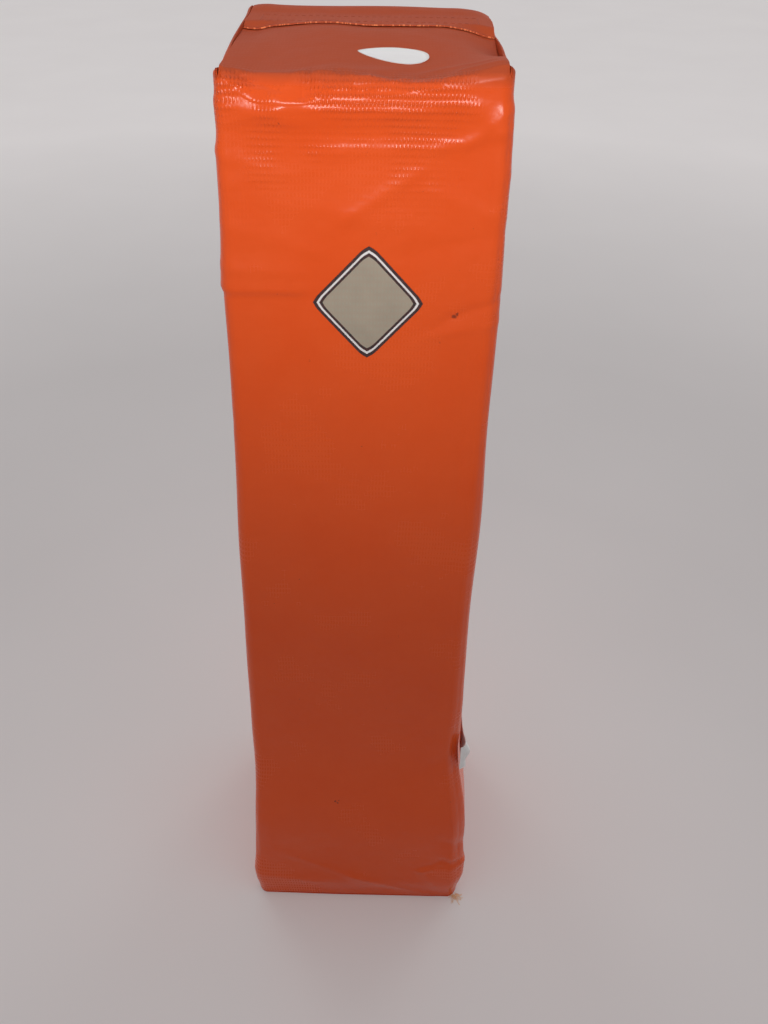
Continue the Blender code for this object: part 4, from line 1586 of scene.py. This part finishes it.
def add_marks(tree, place, colour):
    """Dark marks: round spots whose place is shifted by noise, so that their outline is ragged."""
    shift = noise(tree, place, 600.0, result="Color")
    values = {0: shift, 1: (mark_wander,) * 3, 2: place}
    moved = put(tree, "ShaderNodeVectorMath", values, operation="MULTIPLY_ADD").outputs[0]
    half = mark_wander / 2
    for mark_x, mark_z, reach in marks:
        values = {0: moved, 1: (mark_x + half, mark_z + flat_lift + half, half)}
        away = put(tree, "ShaderNodeVectorMath", values, operation="DISTANCE").outputs["Value"]
        spot = between(tree, away, reach, mark_core * reach)
        colour = tint(tree, spot, mark_share, colour, speck_colour)
    return colour


def make_orange(name, mapped):
    """The coated cloth. Only cloth with a flat map has the painted shade of the level flaps and the marks,
    which follow that map.
    """
    material, tree, shader, place = new_material(name, mapped)
    weave = use(tree, coated_weave, place)
    stain = use(tree, stains, place)
    colour = tint(tree, stain["Patches"], 0.35, orange, worn_orange)
    colour = tint(tree, weave["Groove"], 0.025, colour, deep_orange)
    colour = tint(tree, stain["Specks"], 0.5, colour, speck_colour)
    rough = line(tree, stain["Patches"], worn_rough, plain_rough)
    if mapped:
        up = put(tree, "ShaderNodeSeparateXYZ", {0: place}).outputs[1]
        # painted shade: the level flaps go towards a darker orange
        flap_shade = times(tree, between(tree, up, shaded_top_low, shaded_top_high), shaded_top_share)
        colour = mix(tree, flap_shade, colour, shaded_top_orange)
        colour = add_marks(tree, place, colour)
        rough = line(tree, flap_shade, level_flap_rough, rough)
    edge = edge_distance(tree)
    ragged = line(tree, noise(tree, place, 700.0, 3.0, 0.7), ragged_span, ragged_start)
    near_edge = calc(tree, "LESS_THAN", edge, ragged)
    on_edge = times(tree, near_edge, calc(tree, "GREATER_THAN", edge, least_edge))
    # painted highlight: the cut edge gets the pale yarn colour, brightened
    colour = mix(tree, on_edge, colour, cut_yarn_and_highlight)
    rough = line(tree, weave["Groove"], groove_rough, rough)
    rough = calc(tree, "MAXIMUM", rough, times(tree, on_edge, cut_rough))
    shader.inputs["Specular IOR Level"].default_value = gloss
    slow = put(tree, "ShaderNodeBump", {"Height": noise(tree, place, 130.0), "Distance": soft_bump})
    set_finish(tree, shader, colour, rough, weave["Height"], weave_bump, slow.outputs[0])
    return material


orange_cloth = make_orange("orange_cloth", True)
orange_panel = make_orange("orange_panel_cloth", False)
print("orange cloth", len(orange_cloth.node_tree.nodes), "nodes")

# %% [markdown]
# ## Tapes, bag, sand, foam and thread
#
# The small pieces share the same groups with their own pitch and colours. Foam has open cells, which a
# Voronoi pattern gives. Sand is grains of a few colours. Thread is twisted, with slanting ridges.

# %% Make the woven and the rough finishes
def make_woven(name, colour, dark, pitch, depth, roughness):
    """Yarns of a colour, darker in the grooves."""
    material, tree, shader, place = new_material(name)
    weave = use(tree, plain_weave, place, Pitch=pitch)
    stain = use(tree, stains, place, Patch_scale=60.0)
    shade = tint(tree, weave["Groove"], 0.8, colour, dark)
    shade = tint(tree, stain["Patches"], 0.25, shade, dark)
    rough = line(tree, weave["Groove"], 0.15, roughness)
    set_finish(tree, shader, shade, rough, weave["Height"], depth)
    return material


def make_grains(name, pale, dark, scale, depth, roughness):
    """Cells or grains: a Voronoi pattern for the shape, its random colour for the shade."""
    material, tree, shader, place = new_material(name)
    cells = put(tree, "ShaderNodeTexVoronoi", {"Vector": place, "Scale": scale})
    stain = use(tree, stains, place, Patch_scale=30.0)
    pick = put(tree, "ShaderNodeSeparateColor", {0: cells.outputs["Color"]}).outputs[0]
    shade = tint(tree, pick, 0.7, pale, dark)
    shade = tint(tree, stain["Patches"], 0.3, shade, dark)
    rough = line(tree, stain["Grain"], 0.2, roughness)
    set_finish(tree, shader, shade, rough, cells.outputs["Distance"], depth)
    return material


def make_thread(name, colour, dark):
    """Twisted thread: slanting bands of a wave pattern."""
    material, tree, shader, place = new_material(name)
    values = {"Vector": place, "Scale": 900.0, "Distortion": 1.5}
    twist = put(tree, "ShaderNodeTexWave", values, bands_direction="DIAGONAL").outputs["Fac"]
    stain = use(tree, stains, place)
    shade = tint(tree, twist, 0.5, colour, dark)
    rough = line(tree, stain["Grain"], 0.2, 0.4)
    set_finish(tree, shader, shade, rough, twist, 0.05 * mm)
    return material


# each row: name, colour, dark colour, pitch or scale, depth of the bump, roughness
woven_rows = (
    ("tape_weave", (0.62, 0.075, 0.02, 1), (0.30, 0.03, 0.01, 1), 0.7 * mm, 0.08 * mm, 0.6),
    ("tape_hairs", (0.66, 0.10, 0.03, 1), (0.40, 0.05, 0.015, 1), 0.4 * mm, 0.02 * mm, 0.45),
    ("pouch_weave", (0.72, 0.71, 0.68, 1), (0.45, 0.44, 0.42, 1), 0.9 * mm, 0.08 * mm, 0.7),
)
grain_rows = (
    ("foam_cells", (0.62, 0.63, 0.62, 1), (0.42, 0.43, 0.43, 1), 900.0, 0.5 * mm, 0.8),
    ("sand_grains", (0.62, 0.50, 0.34, 1), (0.28, 0.19, 0.11, 1), 1400.0, 0.4 * mm, 0.7),
)
thread_rows = (
    ("orange_thread", (0.66, 0.085, 0.015, 1), (0.42, 0.04, 0.01, 1)),
    # the thread on the level flaps takes their darker colour, which is painted shade
    ("shaded_top_thread", (0.40, 0.060, 0.016, 1), (0.28, 0.035, 0.010, 1)),
    ("pale_thread", (0.75, 0.72, 0.66, 1), (0.50, 0.47, 0.42, 1)),
    ("frayed_yarn", (0.90, 0.45, 0.06, 1), (0.75, 0.22, 0.03, 1)),
)
tape_finish, hair_finish, pouch_finish = [make_woven(*row) for row in woven_rows]
foam_finish, sand_finish = [make_grains(*row) for row in grain_rows]
thread_finish, top_thread, pale_thread, fray_finish = [make_thread(*row) for row in thread_rows]
print("small finishes", len(woven_rows) + len(grain_rows) + len(thread_rows))

# %% [markdown]
# ## Print, sticker and label
#
# The print is ink on the coating, so the weave shows through it and it has rubbed off on the high yarns.
# Its borders come from the distance to its edge. The sticker is smooth paper under a thin film, and the
# label is satin: fine ridges across a pale ribbon.

# %% Make the print
print_dark = (0.012, 0.012, 0.014, 1)
print_white = (0.80, 0.79, 0.78, 1)
print_field = (0.36, 0.325, 0.25, 1)
border_span_mm = 10.0
borders = ((0, print_dark), (0.11, print_white), (0.19, print_dark), (0.29, print_field))
print_bump = 0.09 * mm


def make_print():
    """Bands of colour by the distance from the edge, worn and stained, on the weave of the front wall."""
    material, tree, shader, place = new_material("printed_film")
    split = put(tree, "ShaderNodeSeparateXYZ", {0: place})
    turned = put(tree, "ShaderNodeCombineXYZ", {0: split.outputs[0], 1: split.outputs[2]}).outputs[0]
    weave = use(tree, coated_weave, turned)
    stain = use(tree, stains, turned, Patch_scale=70.0)
    share = calc(tree, "DIVIDE", edge_distance(tree), border_span_mm)
    ramp = put(tree, "ShaderNodeValToRGB", {0: share})
    steps = ramp.color_ramp.elements
    ramp.color_ramp.interpolation = "CONSTANT"
    steps.remove(steps[1])
    for position, colour in borders:
        step = steps[0] if position == 0 else steps.new(position)
        step.color = colour
    colour = tint(tree, stain["Patches"], 0.12, ramp.outputs[0], print_dark)
    colour = tint(tree, weave["Groove"], 0.06, colour, deep_orange)
    colour = tint(tree, stain["Specks"], 0.7, colour, orange)
    rough = line(tree, weave["Groove"], 0.2, 0.34)
    set_finish(tree, shader, colour, rough, weave["Height"], print_bump)
    return material


print_finish = make_print()
print("print", len(print_finish.node_tree.nodes), "nodes")

# %% Make the sticker and the label
paper_white, paper_stain = (0.965, 0.96, 0.955, 1), (0.70, 0.68, 0.66, 1)
paper_dust, dust_reach_mm = (0.50, 0.40, 0.33, 1), 0.9
paper_bump = 0.12 * mm
satin_white, satin_stain = (0.93, 0.925, 0.92, 1), (0.76, 0.74, 0.72, 1)
satin_pitch, satin_bump = 0.35 * mm, 0.02 * mm


def make_paper():
    """Pale paper with faint stains and dust at its edge."""
    material, tree, shader, place = new_material("sticker_paper")
    stain = use(tree, stains, place, Patch_scale=80.0)
    colour = tint(tree, stain["Patches"], 0.15, paper_white, paper_stain)
    dusty = between(tree, edge_distance(tree), dust_reach_mm, 0.0)
    colour = tint(tree, dusty, 0.4, colour, paper_dust)
    rough = line(tree, stain["Grain"], 0.15, 0.32)
    set_finish(tree, shader, colour, rough, noise(tree, place, 260.0, 3.0), paper_bump)
    return material


def make_satin():
    """A pale ribbon with fine ridges across it."""
    material, tree, shader, place = new_material("label_satin", True)
    split = put(tree, "ShaderNodeSeparateXYZ", {0: place})
    ridges = calc(tree, "SINE", times(tree, split.outputs[1], 2 * math.pi / satin_pitch))
    stain = use(tree, stains, place, Patch_scale=90.0)
    colour = tint(tree, stain["Patches"], 0.4, satin_white, satin_stain)
    rough = line(tree, stain["Grain"], 0.2, 0.35)
    set_finish(tree, shader, colour, rough, ridges, satin_bump)
    return material


paper_finish = make_paper()
satin_finish = make_satin()
print("sticker and label", paper_finish.name, satin_finish.name)

# %% [markdown]
# ## Putting it together
#
# Every piece but the two flaps rides on a body of the imported model, so it moves with its joint. The two
# flaps stay where they were made, and the CAD nodes they stand for are hidden. Each sheet's area is
# printed beside the size of its flat cut.

# %% Give each piece its body, its material and the solid it stands for
pieces = [
    (walls, "cover", "coated_cloth", orange_cloth, ["cover_wrap"]),
    (left_gusset, "cover", "coated_cloth", orange_cloth, ["left_top_gusset"]),
    (right_gusset, "cover", "coated_cloth", orange_cloth, ["right_top_gusset"]),
    (base_panel, "cover", "coated_cloth", orange_panel, ["base_panel"]),
    (foam, "cover", "foam", foam_finish, ["foam_core"]),
    (pouch, "cover", "pouch_cloth", pouch_finish, ["ballast_pouch"]),
    (pouch_panel, "cover", "pouch_cloth", pouch_finish, ["pouch_top_panel"]),
    (sand, "cover", "sand", sand_finish, ["ballast_sand"]),
    (lozenge, "cover", "decal_print", print_finish, ["front_decal"]),
    (seam_stitches, "cover", "sewing_thread", thread_finish, ["corner_seam_thread"]),
    (foot_stitches, "cover", "sewing_thread", thread_finish, ["base_seam_thread"]),
    (under_stitches, "cover", "sewing_thread", thread_finish, []),
    (pouch_stitches, "cover", "sewing_thread", pale_thread, ["pouch_seam_thread"]),
    (loose_threads, "cover", "sewing_thread", fray_finish, []),
    (loop_tape, "front_top_flap", "hook_and_loop", tape_finish, ["loop_tape"]),
    (loops, "front_top_flap", "hook_and_loop", hair_finish, []),
    (loop_stitches, "front_top_flap", "sewing_thread", top_thread, ["loop_tape_thread"]),
    (sticker, "front_top_flap", "sticker_film", paper_finish, ["top_sticker"]),
    (hook_tape, "closing_flap", "hook_and_loop", tape_finish, ["hook_tape"]),
    (hooks, "closing_flap", "hook_and_loop", hair_finish, []),
    (lid_stitches, "closing_flap", "sewing_thread", top_thread, ["hook_tape_thread"]),
    (label, "seam_label", "label_satin", satin_finish, ["seam_label"]),
]
for piece, body, slot, finish, nodes in pieces:
    piece.data.materials.append(finish)
    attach(piece, body)
    if nodes:
        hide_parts(*nodes)

for piece, body, node, side in (
    (front_flap, "front_top_flap", "front_top_flap", -1),
    (closing_flap, "closing_flap", "closing_flap", 1),
):
    piece.data.materials.append(orange_cloth)
    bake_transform(piece)
    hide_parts(node)
print("pieces", len(pieces) + 2)


def one_side(piece):
    """Area of one side of a sheet: half of all its faces."""
    areas = np.empty(len(piece.data.polygons))
    piece.data.polygons.foreach_get("area", areas)
    return round(float(areas.sum()) / 2, 5)


widest = loop_run + 8 * (belly_half + belly_crown - body_half)
sheet_cuts = [
    (walls, (widest, wall_top + hem_width), "stretched"),
    (front_flap, (0.103, 0.105), "folded"),
    (closing_flap, (0.103, 0.052), "folded"),
    (left_gusset, (0.103, 0.062), "folded"),
    (right_gusset, (0.103, 0.062), "folded"),
    (base_panel, (0.1095, 0.1095), "stretched"),
    (pouch, (0.27, 0.27), "stretched"),
    (pouch_panel, (0.107, 0.107), "laid"),
    (loop_tape, (0.0901, 0.0128), "laid"),
    (hook_tape, (0.0903, 0.0128), "laid"),
    (label, (0.0525, 0.016), "folded"),
]
for piece, cut, held in sheet_cuts:
    print(piece.name, "one side", one_side(piece), "square metres, cut", [round(side, 4) for side in cut])
    min(one_side(piece), cut[0] * cut[1])

# %% [markdown]
# ## Light and floor
#
# A small, narrow lamp near the camera's side lights the top of the front, so the coating shines there
# and the light falls off towards the foot, as in the photograph. A large lamp overhead and two low suns
# behind light the other sides, and the pale sky fills the rest. The floor is one pale, plain square. It
# glows a little where the camera or a reflection sees it, most far away and some around the foot.

# %% Make the floor
floor_reach = 9.0
floor_points = 9
floor_pale = (0.68, 0.655, 0.65, 1)
floor_shade = (0.62, 0.595, 0.59, 1)
far_start, far_end, far_glow, least_glow = 0.35, 1.5, 0.40, 0.02
near_start, near_end, near_glow = 0.60, 0.10, 0.17


def seen_directly(tree):
    """1 for what the camera sees, directly, in a reflection or through glass, and 0 for other light."""
    path = put(tree, "ShaderNodeLightPath").outputs
    seen = calc(tree, "MAXIMUM", path["Is Camera Ray"], path["Is Glossy Ray"])
    return calc(tree, "MAXIMUM", seen, path["Is Transmission Ray"])


def make_floor():
    """A level square, far larger than any view of the post."""
    side = np.linspace(-floor_reach, floor_reach, floor_points)
    x, y = np.meshgrid(side, side)
    points = np.stack([x, y, 0 * x], -1)
    return make_piece("floor", points.reshape(-1, 3), [grid_quads(floor_points, floor_points)])


def make_pale_floor():
    """Matt and pale, with the glow added to the shader."""
    material, tree, shader, place = new_material("pale_floor")
    colour = mix(tree, noise(tree, place, 5.0), floor_pale, floor_shade)
    tree.links.new(colour, shader.inputs["Base Color"])
    shader.inputs["Roughness"].default_value = 0.8
    length = put(tree, "ShaderNodeVectorMath", {0: place}, operation="LENGTH").outputs["Value"]
    glow = line(tree, between(tree, length, far_start, far_end), far_glow, least_glow)
    glow = line(tree, between(tree, length, near_start, near_end), near_glow, glow)
    strength = times(tree, glow, seen_directly(tree))
    light = put(tree, "ShaderNodeEmission", {"Color": floor_pale, "Strength": strength})
    both = put(tree, "ShaderNodeAddShader", {0: shader.outputs[0], 1: light.outputs[0]})
    tree.links.new(both.outputs[0], tree.nodes["Material Output"].inputs["Surface"])
    return material


backdrop = make_floor()
backdrop.data.materials.append(make_pale_floor())
print("floor", 2 * floor_reach, "m wide")

# %% Light the scene
lamps = (
    # name, place, aim, size, watts, colour, spread in degrees, whether reflections show it
    ("key_lamp", (-0.02, -0.47, 0.53), (0, -0.05, 0.435), (0.24, 0.07), 0.145, (1.0, 0.98, 0.96), 56, True),
    ("top_lamp", (0, 0.1, 1.9), (0, 0, 0), (1.2, 1.2), 4.0, (0.99, 0.985, 1.0), 180, False),
)
sun_strength, sun_width, sun_tilt, sun_turn = 0.85, 25, 84, 35
sky_colour = (0.95, 0.93, 0.94, 1)
fill_light, seen_sky = 0.42, 0.60


def add_light(name, kind, power):
    """A light of a kind, linked into the scene, and its settings."""
    data = bpy.data.lights.new(name, kind)
    data.energy = power
    light = bpy.data.objects.new(name, data)
    bpy.context.scene.collection.objects.link(light)
    return light, data


for name, place, aim, size, watts, colour, spread, in_reflections in lamps:
    lamp, settings = add_light(name, "AREA", watts)
    settings.shape = "RECTANGLE"
    settings.size, settings.size_y = size
    settings.color = colour
    settings.spread = math.radians(spread)
    lamp.location = place
    lamp.rotation_euler = (Vector(aim) - Vector(place)).to_track_quat("-Z", "Y").to_euler()
    lamp.visible_camera = False
    lamp.visible_glossy = in_reflections

for side in (-1, 1):
    sun, settings = add_light("rear_sun", "SUN", sun_strength)
    settings.angle = math.radians(sun_width)
    sun.visible_glossy = False
    sun.rotation_euler = (math.radians(sun_tilt), 0, math.radians(180 + side * sun_turn))

world = bpy.data.worlds.new("world")
world.use_nodes = True
background = world.node_tree.nodes["Background"]
background.inputs["Color"].default_value = sky_colour
strength = line(world.node_tree, seen_directly(world.node_tree), seen_sky - fill_light, fill_light)
world.node_tree.links.new(strength, background.inputs["Strength"])
bpy.context.scene.world = world
print("lights", len(bpy.data.lights))
